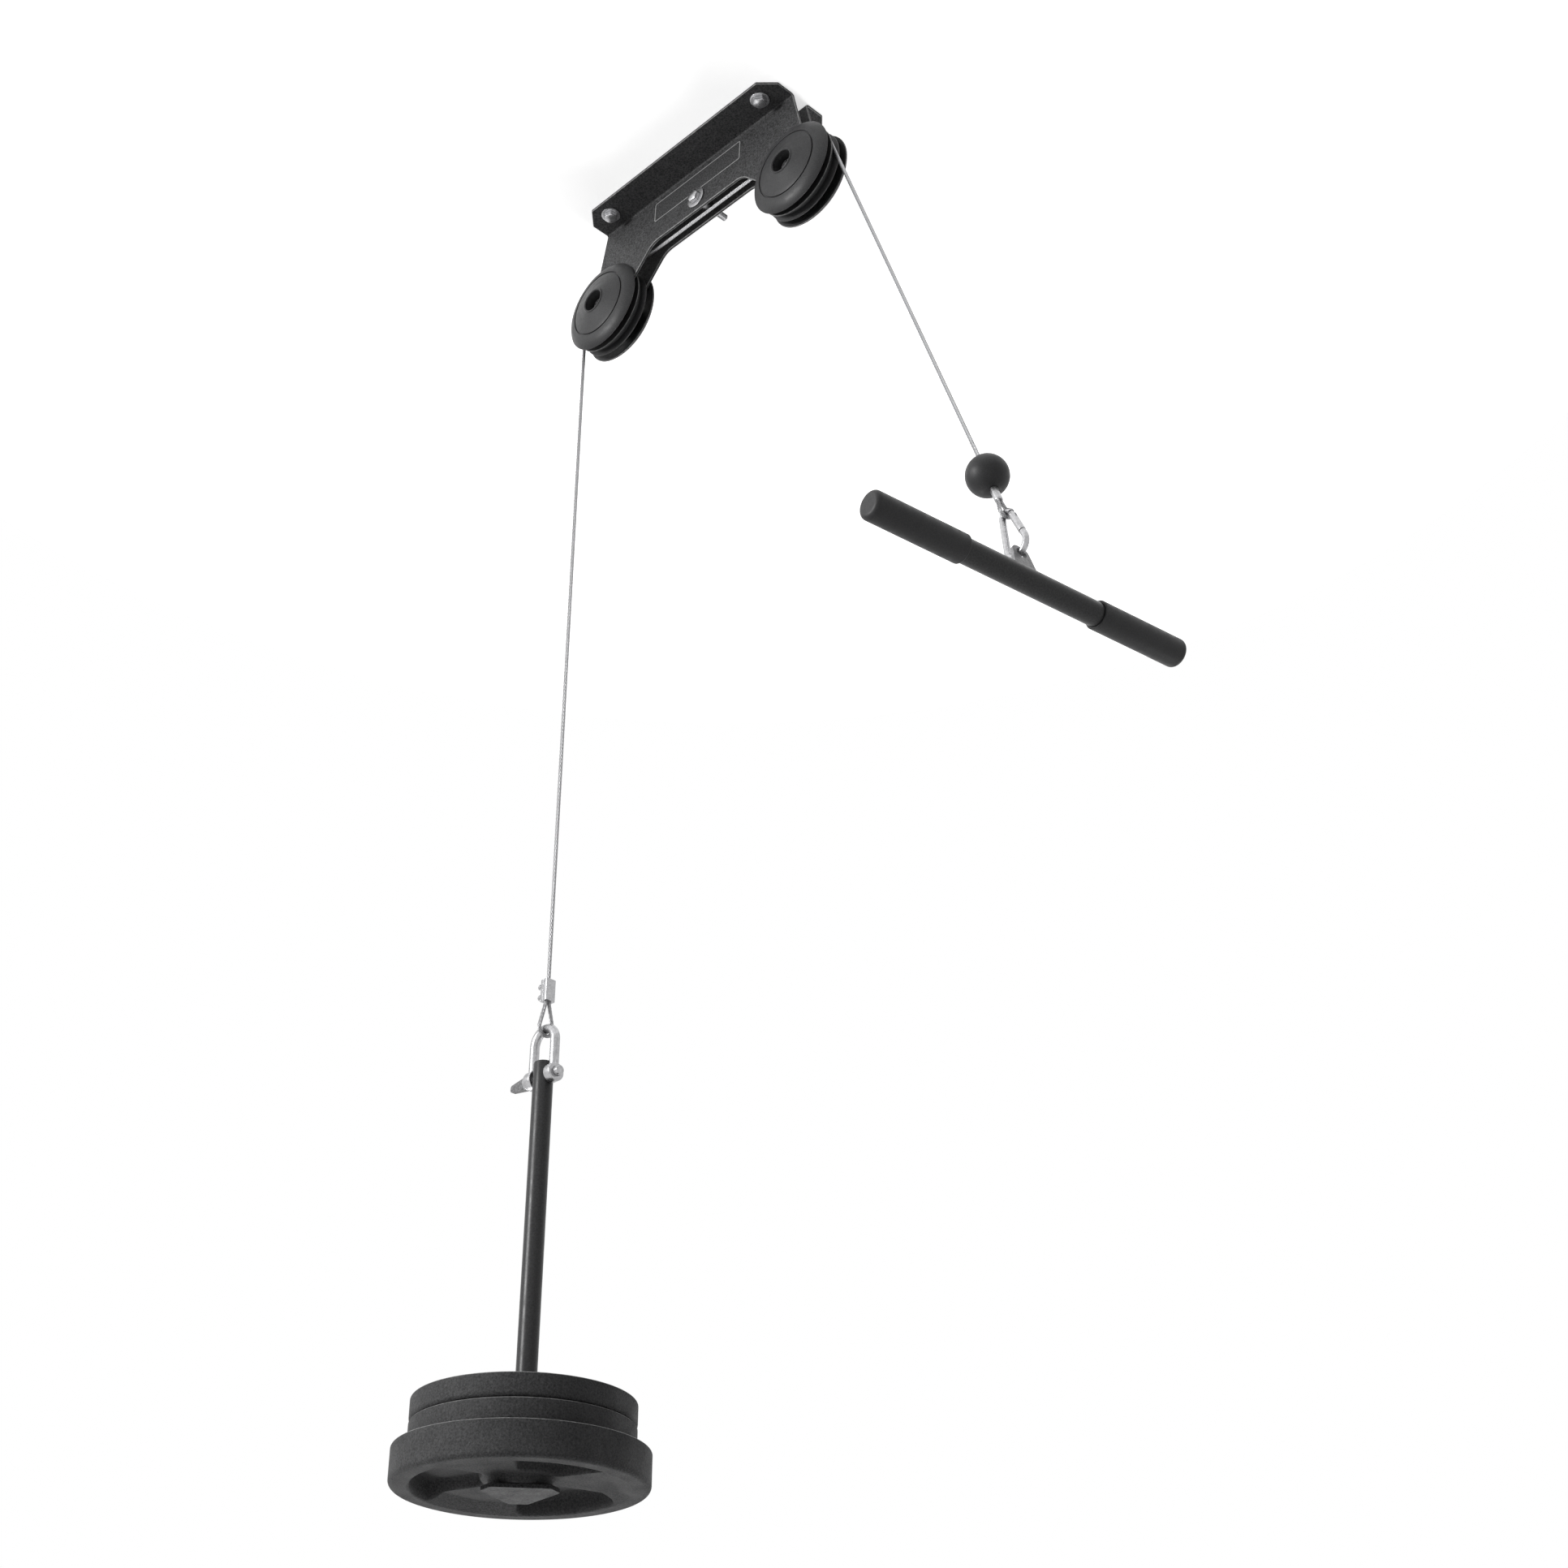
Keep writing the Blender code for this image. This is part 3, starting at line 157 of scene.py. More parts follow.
HANDLE_ROPE_LENGTH = 0.739
BALL_STOP_RADIUS = 0.0258
FERRULE_RADIUS = 0.0049
FERRULE_LENGTH = 0.028
FERRULE_START = 0.018
HANDLE_EYE_LENGTH = 0.0295
HANDLE_EYE_RADIUS = 0.0072
HOOK_WIRE = 0.004
HOOK_TOP_RADIUS = 0.0073
HOOK_LOW_RADIUS = 0.015
HOOK_CENTRES = 0.046
GATE_RADIUS = 0.0044
GATE_START = 0.0023
GATE_PIN_PLACE = 0.0065
GATE_END = 0.038
GATE_CLEARANCE = 0.0015
GATE_SLOT = 0.0046
GATE_SLOT_DEPTH = 0.0075
TONGUE = 0.0040
TONGUE_WIDTH = 0.0056
TONGUE_LENGTH = 0.0100
GATE_PIN_RADIUS = 0.0015
LUG_THICKNESS = 0.005
LUG_BASE = 0.035
LUG_TOP = 0.022
LUG_CROWN = 0.0040
LUG_SLACK = 0.0012
LUG_HOLE_RADIUS = 0.007
LUG_CORNER = 0.0100
HOOK_TO_BAR = 0.0481
TUBE_RADIUS = 0.0145
TUBE_WALL = 0.002
BAR_LENGTH = 0.456
GRIP_RADIUS = 0.01725
GRIP_LENGTH = 0.129
GRIP_END = 0.006
GRIP_ROUND = 0.006

# Details that only this scene has: lengths in metres, counts, and shares of another size
THROUGH = 0.01  # half the length of a tool that goes right through a small piece
OVERCUT = 0.001  # how far a tool stands out of the piece that it cuts
PAINT_MARGIN = 0.0001  # keeps the faces next to a repainted one out
SHEET_EDGE = 0.0010
FLANGE_CORNER = 0.003
PANEL_CORNERS = ((-0.0905, -0.0490), (0.0895, -0.0490), (0.0910, -0.0135), (-0.0890, -0.0135))
PANEL_ROUND = 0.004
PANEL_THICKNESS = 0.00012
OUTLINE_SCALE_X = 1 - 0.0009 / 0.09
OUTLINE_SCALE_Z = 1 - 0.0008 / 0.017
OUTLINE_ROUND = 0.0035
OUTLINE_WIDTH = 0.0013
OUTLINE_TOP = 0.00018
OUTLINE_THICKNESS = 0.0001
COVER_CHAMFER = 0.0007
DOME_STEPS = 14
FACE_STEPS = 12
# The covers' groove as steps out from the ring and up from the shoulder, and the sloping face inside it
COVER_GROOVE = ((0.0011, 0), (0.0006, -0.0004), (0.0004, -0.0016), (-0.0014, -0.0016), (-0.0016, 0.0001))
FACE_START = 0.0024
FACE_DROP = 0.0007
# The lip of the hole as steps out from the hole and up from the covers' depth
COVER_LIP = ((0.0026, -0.0002), (0.0012, 0), (0, -0.0012))
LIP_WIDTH = 0.0034
LIP_ROUNDS = (0, 0.0006, 0.0008, 0.0008, 0)
BEARING_RADIUS = 0.0175
WHEEL_HUB = 0.006
WHEEL_WEB = 0.003
WHEEL_RIM = 0.0042
WHEEL_CHAMFER = 0.0008
WHEEL_LIP_CHAMFER = 0.0006
WHEEL_GROOVE_RADIUS = 0.0031
WHEEL_GROOVE_SLACK = 0.0009
AXLE_THREAD = 0.013
CENTRE_THREAD = 0.023
CEILING_BOLT_SPIN = 17  # degrees from each ceiling bolt to the next
SPACER_RADIUS = 0.008
SPACER_BEVEL = 0.0005
WASHER_BEVEL = 0.0003
HEX_FACE = 0.96  # share of the flats that a hexagon's turned face reaches
THREAD_PITCH = 0.0015
THREAD_DEPTH = 0.0006
THREAD_OVERLAP = 0.0005
THREAD_LEVELS = 8
THREAD_FLANK = 1.2
THREAD_POINT = 1.3
STRAND_COUNT = 6
STRAND_LAY = 0.034
STRAND_SAMPLES = 14
STRAND_SHARE = 0.36
STRAND_SIDES = 8
CORE_SHARE = 0.5
EYE_STRAIGHT = 0.003
CLAMP_ROUND = 0.0022
CLAMP_EDGE = 0.0004
SEAM_WIDTH = 0.0008
SEAM_DEPTH = 0.0018
SCREW_RADIUS = 0.002
SCREW_LENGTH = 0.004
SCREW_SHOULDER = 0.55
SCREW_CROWN = 0.72
SCREW_ROUNDS = (0, 0, 0, 0.0003, 0.0012, 0.0008, 0)
SOCKET_FLATS = 0.003
SOCKET_DEPTH = 0.002
EAR_ROUNDS = (0.002, 0.002)
SHACKLE_PIN_ROUNDS = (0, 0.0012, 0, 0.0012, 0.0022, 0)
SHACKLE_PIN_EDGE = 0.0007
TAB_ROUND = 0.0035
ROD_ROUND = 0.0015
ROD_BANDS = 12
BASE_ROUND = 0.004
BASE_EDGE = 0.0006
POCKET_WALL = 0.0055
POCKET_LEAD = 0.35
POCKET_STEP = 0.0016
LOWER_SHARE = 0.45  # of the thickness, where the pockets start
PLATE_ROUNDS = (0.001, 0.002, 0.003, 0.010, 0.004, LOWER_ROUND,
                PLATE_EDGE, 0.002, 0.004, 0.002, 0.0015, 0.001)
# Width of the lighter band round the plates' upper edge: worn coat and a painted highlight
WORN_AND_LIT_RIM = 0.6 * PLATE_EDGE
FERRULE_ROUNDS = (0.0015, 0.0004)
GATE_ROUNDS = (0.0009, 0.0018)
GATE_PIN_ROUNDS = (0.0003, 0.0003)
LUG_EDGE = 0.0005
GRIP_MOUTH_ROUND = 0.0014

# Light and camera
WORLD_LIGHT = 0.11
LENS = 53.735
SENSOR_WIDTH = 36
CAMERA_PLACE = (1.8284, -1.6517, -2.4733)
CAMERA_TURN = (math.radians(90 + 30.477), 0, math.radians(45.247))

# Frames that pieces are built in: local Z is the line that the piece hangs or turns about


def turn(axis, angle):
    return Matrix.Rotation(angle, 4, axis)


def at(x, y, z):
    return Matrix.Translation((x, y, z))


HERE = Matrix.Identity(4)
ALONG_Y = turn("X", math.radians(-90))
ALONG_X = turn("Y", math.radians(90))
PULL = Vector((math.sin(ROPE_SLANT), 0, -math.cos(ROPE_SLANT)))
TANGENT = Vector((PULLEY_X, 0, AXLE_Z)) + ROPE_PITCH_RADIUS * Vector(
    (math.cos(ROPE_SLANT), 0, math.sin(ROPE_SLANT)))
BALL_CENTRE = TANGENT + HANDLE_ROPE_LENGTH * PULL
ROPE_END_FRAME = at(*BALL_CENTRE) @ turn("Y", -ROPE_SLANT) @ turn("Z", -BAR_TWIST)
HANDLE_EYE_LOW = FERRULE_START + FERRULE_LENGTH + HANDLE_EYE_LENGTH
HOOK_CENTRE = BALL_CENTRE + (HANDLE_EYE_LOW - ROPE_RADIUS - GAP - HOOK_WIRE + HOOK_TOP_RADIUS) * PULL
HOOK_FRAME = at(*HOOK_CENTRE) @ turn("Z", -BAR_TWIST) @ turn("Y", -HANG_SLANT)
BAR_FRAME = HOOK_FRAME @ at(0, 0, -(HOOK_CENTRES + HOOK_LOW_RADIUS + HOOK_TO_BAR))
WEIGHT_LINE = at(WEIGHT_X, 0, 0)
SHACKLE_PIN_LINE = at(WEIGHT_X, 0, SHACKLE_PIN_Z) @ ALONG_X


# Materials


class Graph:
    """Short ways to add nodes to a material or a world, and to link them."""

    def __init__(self, owner):
        owner.use_nodes = True
        self.nodes = owner.node_tree.nodes
        self.links = owner.node_tree.links

    def add(self, kind, inputs, **settings):
        """Adds a node. Each of its inputs gets a value, or a link from an output of another node."""
        node = self.nodes.new(kind)
        for key, value in settings.items():
            setattr(node, key, value)
        for socket, value in inputs.items():
            if isinstance(value, bpy.types.NodeSocket):
                self.links.new(value, node.inputs[socket])
            else:
                node.inputs[socket].default_value = value
        return node

    def place(self):
        return self.add("ShaderNodeTexCoord", {}).outputs["Object"]

    def noise(self, place, scale, detail, roughness):
        inputs = {"Vector": place, "Scale": scale, "Detail": detail, "Roughness": roughness}
        return self.add("ShaderNodeTexNoise", inputs).outputs["Fac"]

    def mapped(self, value, start, end, low, high):
        """Maps a value between start and end to low and high."""
        inputs = {"Value": value, "From Min": start, "From Max": end, "To Min": low, "To Max": high}
        return self.add("ShaderNodeMapRange", inputs).outputs["Result"]

    def mixed(self, share, first, second):
        return self.add("ShaderNodeMixShader", {0: share, 1: first, 2: second}).outputs[0]


def surface(name, colour, roughness, metallic=0.0, specular=0.5, sheen=0.0, tint=None, gloss=None, bump=None):
    """A Principled material with fine noise in its colour, roughness and height.

    tint: scale, detail and roughness of the noise, its values at the ends, darkest and lightest multiple
    gloss: scale and detail of the noise, least and greatest roughness
    bump: scale, detail and roughness of the noise, height and strength
    """
    material = bpy.data.materials.new(name)
    graph = Graph(material)
    shader = graph.nodes["Principled BSDF"].inputs
    for socket, value in (("Base Color", (*colour, 1.0)), ("Roughness", roughness), ("Metallic", metallic),
                          ("Specular IOR Level", specular), ("Sheen Weight", sheen)):
        shader[socket].default_value = value
    place = graph.place()
    if bump:
        *grain, height, strength = bump
        inputs = {"Strength": strength, "Distance": height, "Height": graph.noise(place, *grain)}
        graph.links.new(graph.add("ShaderNodeBump", inputs).outputs["Normal"], shader["Normal"])
    if tint:
        *grain, start, end, dark, light = tint
        inputs = {"Factor": graph.mapped(graph.noise(place, *grain), start, end, 0, 1),
                  "A": (*[c * dark for c in colour], 1.0), "B": (*[c * light for c in colour], 1.0)}
        shades = graph.add("ShaderNodeMix", inputs, data_type="RGBA")
        graph.links.new(shades.outputs["Result"], shader["Base Color"])
    if gloss:
        scale, detail, least, greatest = gloss
        grain = graph.noise(place, scale, detail, 0.5)
        graph.links.new(graph.mapped(grain, 0.3, 0.7, least, greatest), shader["Roughness"])
    return material


def zinc_plate(name, level):
    return surface(name, (level, level, level * 1.02), 0.16, metallic=1.0, bump=(500, 3, 0.5, 0.0001, 0.1),
                   tint=(260, 4, 0.5, 0.3, 0.7, 0.85, 1.15), gloss=(400, 4, 0.24, 0.38))


def rope_wire(name, level):
    return surface(name, (level, level, level * 1.02), 0.36, metallic=0.95,
                   tint=(500, 4, 0.5, 0.3, 0.7, 0.8, 1.15), gloss=(900, 3, 0.26, 0.48))


FINISHES = {
    "black_powder_coat": surface(
        "powder_coat", (0.044, 0.044, 0.045), 0.42, specular=0.14, bump=(900, 4, 0.6, 0.0004, 0.6),
        tint=(420, 4, 0.7, 0.38, 0.62, 0.45, 1.9), gloss=(60, 3, 0.42, 0.56)),
    "zinc": zinc_plate("zinc_plate", 0.41),
    "black_plastic": surface(
        "moulded_plastic", (0.030, 0.030, 0.031), 0.40, specular=0.22, bump=(1100, 3, 0.5, 0.0002, 0.4),
        tint=(700, 4, 0.7, 0.38, 0.62, 0.75, 1.3), gloss=(140, 3, 0.38, 0.5)),
    "bearing_steel": surface(
        "bearing_steel", (0.6, 0.6, 0.61), 0.22, metallic=1.0, bump=(900, 2, 0.5, 0.00004, 0.3),
        tint=(220, 3, 0.5, 0.3, 0.7, 0.9, 1.08)),
    "wire_rope": rope_wire("rope_wire", 0.30),
    "plate_black": surface(
        "plate_coat", (0.046, 0.046, 0.047), 0.62, specular=0.2, bump=(380, 4, 0.65, 0.0012, 0.8),
        tint=(420, 5, 0.75, 0.38, 0.62, 0.5, 1.6), gloss=(35, 4, 0.54, 0.7)),
    "rubber": surface(
        "rubber", (0.016, 0.016, 0.017), 0.40, specular=0.30, sheen=0.03, bump=(900, 4, 0.5, 0.0003, 0.4),
        tint=(600, 4, 0.7, 0.38, 0.62, 0.75, 1.3), gloss=(110, 4, 0.4, 0.54)),
}
BLACK_PAINT = surface(
    "black_paint", (0.036, 0.036, 0.037), 0.36, specular=0.25, bump=(700, 3, 0.5, 0.0002, 0.3),
    tint=(500, 4, 0.7, 0.38, 0.62, 0.75, 1.3), gloss=(80, 4, 0.28, 0.42))
# A lighter finish along edges: partly the powder coat thin and rubbed there, partly a painted highlight where
# edges catch the light
WORN_AND_LIT_EDGE = surface(
    "worn_and_lit_edge", (0.24, 0.24, 0.24), 0.4, specular=0.4, bump=(900, 2, 0.5, 0.0001, 0.3),
    tint=(240, 3, 0.5, 0.35, 0.65, 0.6, 1.3))
# Zinc that has gone dull and blotched
WORN_ZINC = surface(
    "worn_zinc", (0.12, 0.12, 0.123), 0.5, metallic=0.6, bump=(600, 4, 0.5, 0.0002, 0.4),
    tint=(420, 5, 0.7, 0.36, 0.64, 0.55, 1.6))
CLEAN_ROPE = rope_wire("clean_rope", 0.5)
# A lighter copy of the zinc for the bolts, nuts and washers: painted light that lifts these small parts out
# of the shade they sit in
LIGHTENED_ZINC = zinc_plate("lightened_zinc", 0.50)
# Bare steel in thin paint, as on the lug over the bar
GREY_WELD = surface(
    "grey_weld", (0.24, 0.24, 0.245), 0.38, metallic=0.3, bump=(700, 3, 0.5, 0.0001, 0.3),
    tint=(300, 4, 0.6, 0.36, 0.64, 0.75, 1.3))
OUTLINE_PRINT = surface("outline_print", (0.34, 0.34, 0.34), 0.5, tint=(600, 3, 0.5, 0.3, 0.7, 0.8, 1.15))

# Shapes


def around(count):
    """Evenly spaced angles over a full turn."""
    return [2 * math.pi * k / count for k in range(count)]


def shade(mesh, sharp):
    """Smooths a mesh, but for its edges above an angle in degrees."""
    mesh.shade_smooth()
    mesh.set_sharp_from_angle(angle=math.radians(sharp))


def kept(bm):
    mesh = bpy.data.meshes.new("shape")
    bm.to_mesh(mesh)
    bm.free()
    return mesh


def finished(bm):
    bmesh.ops.recalc_face_normals(bm, faces=bm.faces)
    return kept(bm)


def linked(name, data):
    """Puts data in the scene as an object of its own."""
    piece = bpy.data.objects.new(name, data)
    bpy.context.scene.collection.objects.link(piece)
    return piece


def add(name, mesh, slot, where, body=None, nodes=(), finish=None, sharp=35):
    """Links a mesh as a named piece with its finish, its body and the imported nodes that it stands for."""
    mesh.name = name.removesuffix("_fine")
    mesh.materials.append(finish or FINISHES[slot])
    piece = linked(name, mesh)
    piece.matrix_world = where
    shade(mesh, sharp)
    if nodes:
        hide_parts(*nodes)
    if body:
        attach(piece, body)
    return piece


def fine(name, mesh, slot, where, body=None, finish=None, sharp=35):
    """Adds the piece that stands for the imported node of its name."""
    return add(name + "_fine", mesh, slot, where, body, [name], finish, sharp)


def bevelled(piece, width, segments=3, angle=40, edge=None):
    step = piece.modifiers.new("edges", "BEVEL")
    if edge:
        piece.data.materials.append(edge)
        step.material = 1
    step.width = width
    step.segments = segments
    step.limit_method = "ANGLE"
    step.angle_limit = math.radians(angle)
    step.use_clamp_overlap = True
    step.harden_normals = True


def cut(piece, mesh, where, operation="DIFFERENCE", sharp=None):
    """Cuts, or joins, a piece with a helper that isn't shown, and keeps the result as the piece's mesh."""
    other = linked(piece.name + "_tool", mesh)
    other.matrix_world = where
    step = piece.modifiers.new("cut", "BOOLEAN")
    step.operation = operation
    step.object = other
    bpy.context.view_layer.update()
    depsgraph = bpy.context.evaluated_depsgraph_get()
    result = bpy.data.meshes.new_from_object(piece.evaluated_get(depsgraph))
    piece.modifiers.clear()
    piece.data = result
    bpy.data.objects.remove(other, do_unlink=True)
    if sharp:
        shade(result, sharp)


def repaint(piece, material, chosen):
    """Gives the faces whose centre is chosen another material."""
    piece.data.materials.append(material)
    index = len(piece.data.materials) - 1
    for face in piece.data.polygons:
        if chosen(face.center):
            face.material_index = index


def arc(centre, radius, start, end, steps):
    return [(centre[0] + radius * math.cos(start + (end - start) * i / steps),
             centre[1] + radius * math.sin(start + (end - start) * i / steps)) for i in range(steps + 1)]


def rounded(outline, radii, steps=6, closed=True):
    """The outline with each corner of a radius above 0 replaced by an arc."""
    points = []
    last = len(outline) - 1
    for i, (corner, radius) in enumerate(zip(outline, radii)):
        if radius <= 0 or (not closed and i in (0, last)):
            points.append(tuple(corner))
            continue
        here = Vector(corner)
        before = (Vector(outline[i - 1]) - here).normalized()
        after = (Vector(outline[(i + 1) % len(outline)]) - here).normalized()
        half = before.angle(after) / 2
        centre = here + (before + after).normalized() * radius / math.sin(half)
        first = here + before * radius / math.tan(half) - centre
        final = here + after * radius / math.tan(half) - centre
        sweep = first.angle_signed(final)
        points += [tuple(centre + Matrix.Rotation(-sweep * k / steps, 2) @ first) for k in range(steps + 1)]
    return points


def rectangle(width, depth):
    x = width / 2
    y = depth / 2
    return [(x, -y), (x, y), (-x, y), (-x, -y)]


def turned(profile, segments=96, closed=False):
    """Spins a profile of (radius, height) points about local Z. A side along the axis leaves no face."""
    bm = bmesh.new()
    verts = [bm.verts.new((r, 0, z)) for r, z in profile]
    following = verts[1:] + verts[:1] if closed else verts[1:]
    edges = [bm.edges.new((a, b)) for a, b in zip(verts, following) if a.co.x or b.co.x]
    bmesh.ops.spin(bm, geom=verts + edges, cent=(0, 0, 0), axis=(0, 0, 1), angle=2 * math.pi,
                   steps=segments, use_merge=True)
    bmesh.ops.remove_doubles(bm, verts=bm.verts, dist=1e-6)
    return finished(bm)


def rod(radius, low, high, segments=48, rounds=(0, 0), steps=4):
    profile = [(0, low), (radius, low), (radius, high), (0, high)]
    return turned(rounded(profile, [0, *rounds, 0], steps, closed=False), segments)


def ring(inner, outer, low, high, segments=64, bevel=0.0):
    profile = [(inner, low), (outer, low), (outer, high), (inner, high)]
    return turned(rounded(profile, [bevel] * 4, 3), segments, closed=True)


def thicken(bm, faces, height):
    """Extrudes faces along local Z to a solid."""
    grown = bmesh.ops.extrude_face_region(bm, geom=faces)
    top = [v for v in grown["geom"] if isinstance(v, bmesh.types.BMVert)]
    bmesh.ops.translate(bm, verts=top, vec=(0, 0, height))


def prism(outline, low, high):
    bm = bmesh.new()
    face = bm.faces.new([bm.verts.new((x, y, low)) for x, y in outline])
    thicken(bm, [face], high - low)
    return finished(bm)


def merged(parts):
    bm = bmesh.new()
    for mesh, where in parts:
        mesh.transform(where)
        bm.from_mesh(mesh)
    return finished(bm)


def bridge(bm, rows, wrap=True):
    """Joins each row of vertices to the next. Each row closes on itself where wrap is set."""
    count = len(rows[0])
    for upper, lower in zip(rows, rows[1:]):
        for i in range(count if wrap else count - 1):
            j = (i + 1) % count
            bm.faces.new((upper[i], upper[j], lower[j], lower[i]))


def skin(bm, rows):
    """Adds a closed skin over rows of points, with both ends capped."""
    grid = [[bm.verts.new(p) for p in row] for row in rows]
    bridge(bm, grid)
    bm.faces.new(grid[0])
    bm.faces.new(grid[-1])


def lattice(rows):
    bm = bmesh.new()
    skin(bm, rows)
    return finished(bm)


def swept(points, radius, sides):
    """A round wire along a path that lies in a plane through its first and last points."""
    path = [Vector(p) for p in points]
    spans = [(b - a).normalized() for a, b in zip(path, path[1:])]
    flat = sum((a.cross(b) for a, b in zip(spans, spans[1:])), Vector((0, 0, 0))).normalized()
    rows = []
    for i, point in enumerate(path):
        before = spans[max(i - 1, 0)]
        after = spans[min(i, len(spans) - 1)]
        across = (before + after).normalized().cross(flat).normalized()
        grow = 1 / max(math.cos(before.angle(after, 0) / 2), 0.5)
        rows.append([point + radius * (math.cos(a) * grow * across + math.sin(a) * flat)
                     for a in around(sides)])
    return lattice(rows)


def rope_places(path, flat):
    """Places along a rope: the length up to there, the point, and the directions along and across."""
    spans = [b - a for a, b in zip(path, path[1:])]
    lengths = [0.0]
    for span in spans:
        lengths.append(lengths[-1] + span.length)
    total = lengths[-1]
    samples = max(int(total / STRAND_LAY * STRAND_SAMPLES), 8)
    places = []
    index = 0
    for n in range(samples + 1):
        s = total * n / samples
        while index < len(spans) - 1 and lengths[index + 1] < s:
            index += 1
        share = (s - lengths[index]) / (lengths[index + 1] - lengths[index])
        point = path[index].lerp(path[index + 1], share)
        # The direction leans toward that of the nearer neighbour, where there is one
        near = min(max(index + (1 if share > 0.5 else -1), 0), len(spans) - 1)
        along = spans[index].normalized().lerp(spans[near].normalized(), abs(share - 0.5)).normalized()
        places.append((s, point, along, along.cross(flat).normalized()))
    return places


def strands(points, normal):
    """A wire rope of twisted strands round a core, along a path in a plane with the given normal."""
    flat = Vector(normal).normalized()
    places = rope_places([Vector(p) for p in points], flat)
    strand = ROPE_RADIUS * STRAND_SHARE
    reach = ROPE_RADIUS - strand
    bm = bmesh.new()
    for k in range(STRAND_COUNT):
        rows = []
        for s, point, along, across in places:
            angle = 2 * math.pi * (s / STRAND_LAY + k / STRAND_COUNT)
            out = math.cos(angle) * across + math.sin(angle) * flat
            round_way = -math.sin(angle) * across + math.cos(angle) * flat
            lean = (along + round_way * (2 * math.pi * reach / STRAND_LAY)).normalized()
            side = lean.cross(out).normalized()
            centre = point + out * reach
            rows.append([centre + strand * (math.cos(a) * out + math.sin(a) * side)
                         for a in around(STRAND_SIDES)])
        skin(bm, rows)
    skin(bm, [[point + ROPE_RADIUS * CORE_SHARE * (math.cos(a) * across + math.sin(a) * flat)
               for a in around(STRAND_SIDES)] for _, point, _, across in places])
    return finished(bm)


def hex_radius(angle, flats):
    """Distance from the axis to a hexagon's side, with a corner on the X axis."""
    part = math.radians(60)
    return flats / 2 / math.cos((angle % part) - part / 2)


def hexed(flats, low, high, chamfer_low=False, chamfer_high=True, hole=0.0):
    """A hexagonal head or nut with cone-turned corners."""
    slope = math.tan(math.radians(30))
    edge = flats / 2 * HEX_FACE
    depth = (flats / math.sqrt(3) - edge) * slope
    steps = [depth * k / 4 for k in range(5)]
    levels = [low + step for step in steps] if chamfer_low else [low]
    levels += [high - step for step in reversed(steps)] if chamfer_high else [high]
    angles = around(72)
    rows = []
    for z in levels:
        limit = flats
        if chamfer_high:
            limit = min(limit, edge + (high - z) / slope)
        if chamfer_low:
            limit = min(limit, edge + (z - low) / slope)
        radii = [min(hex_radius(a, flats), limit) for a in angles]
        rows.append([(r * math.cos(a), r * math.sin(a), z) for r, a in zip(radii, angles)])
    if not hole:
        return lattice(rows)
    rows += [[(hole * math.cos(a), hole * math.sin(a), z) for a in angles] for z in (high, low)]
    bm = bmesh.new()
    grid = [[bm.verts.new(p) for p in row] for row in rows]
    bridge(bm, grid + grid[:1])
    return finished(bm)


def threaded(radius, low, high):
    """A screw thread with a bevelled end at its high side."""
    segments = 32
    count = int((high - low) / THREAD_PITCH * THREAD_LEVELS)
    rows = []
    for n in range(count + 1):
        z = low + (high - low) * n / count
        row = []
        for k, angle in enumerate(around(segments)):
            wave = (z / THREAD_PITCH - k / segments) % 1.0
            r = radius - THREAD_DEPTH * min(1.0, 2 * abs(wave - 0.5) * THREAD_FLANK)
            r = min(r, radius - THREAD_DEPTH * THREAD_POINT + max(high - z, 0))
            row.append((r * math.cos(angle), r * math.sin(angle), z))
        rows.append(row)
    return lattice(rows)


# Bolts, nuts and washers wear the lighter copy of the zinc, which paints light onto them
def bolt(name, length, thread, where):
    """A hex bolt, local Z from under its head along the shank, with thread along the shank's last part."""
    parts = [(hexed(HEAD_FLATS, 0, HEAD_HEIGHT), turn("X", math.pi)),
             (rod(BOLT_RADIUS, -HEAD_HEIGHT / 4, length - thread), HERE)]
    if thread:
        parts.append((threaded(BOLT_RADIUS, length - thread - THREAD_OVERLAP, length), HERE))
    fine(name, merged(parts), "zinc", where, "bracket", LIGHTENED_ZINC, 32)


def nut(name, where):
    mesh = hexed(HEAD_FLATS, 0, NUT_HEIGHT, chamfer_low=True, hole=BOLT_RADIUS + FIT)
    fine(name, mesh, "zinc", where, "bracket", LIGHTENED_ZINC, 32)


def washer(name, radius, where):
    mesh = ring(BOLT_RADIUS + FIT, radius, 0, WASHER_THICKNESS, 72, WASHER_BEVEL)
    fine(name, mesh, "zinc", where, "bracket", LIGHTENED_ZINC)


# The bracket


def web_outline():
    """The web below its bend, as (x, drop) points."""
    top = SHEET + BEND_RADIUS
    centre = Vector((PULLEY_X, -AXLE_Z))

    def touch(corner, side):
        away = Vector(corner) - centre
        return math.atan2(away.y, away.x) + side * math.acos(ARM_END_RADIUS / away.length)

    notch = (NOTCH_LENGTH / 2, WEB_DEPTH)
    outer = touch((PLATE_LENGTH / 2, top), 1)
    inner = touch(notch, -1)
    while inner < outer:
        inner += 2 * math.pi
    arm = [(PLATE_LENGTH / 2, top)] + arc(centre, ARM_END_RADIUS, outer, inner, 32)
    row = [arm[-1], notch, (0, WEB_DEPTH)]
    half = arm + rounded(row, [0, NOTCH_FILLET, 0], 16, closed=False)[1:-1]
    return half + [(-x, drop) for x, drop in reversed(half)]


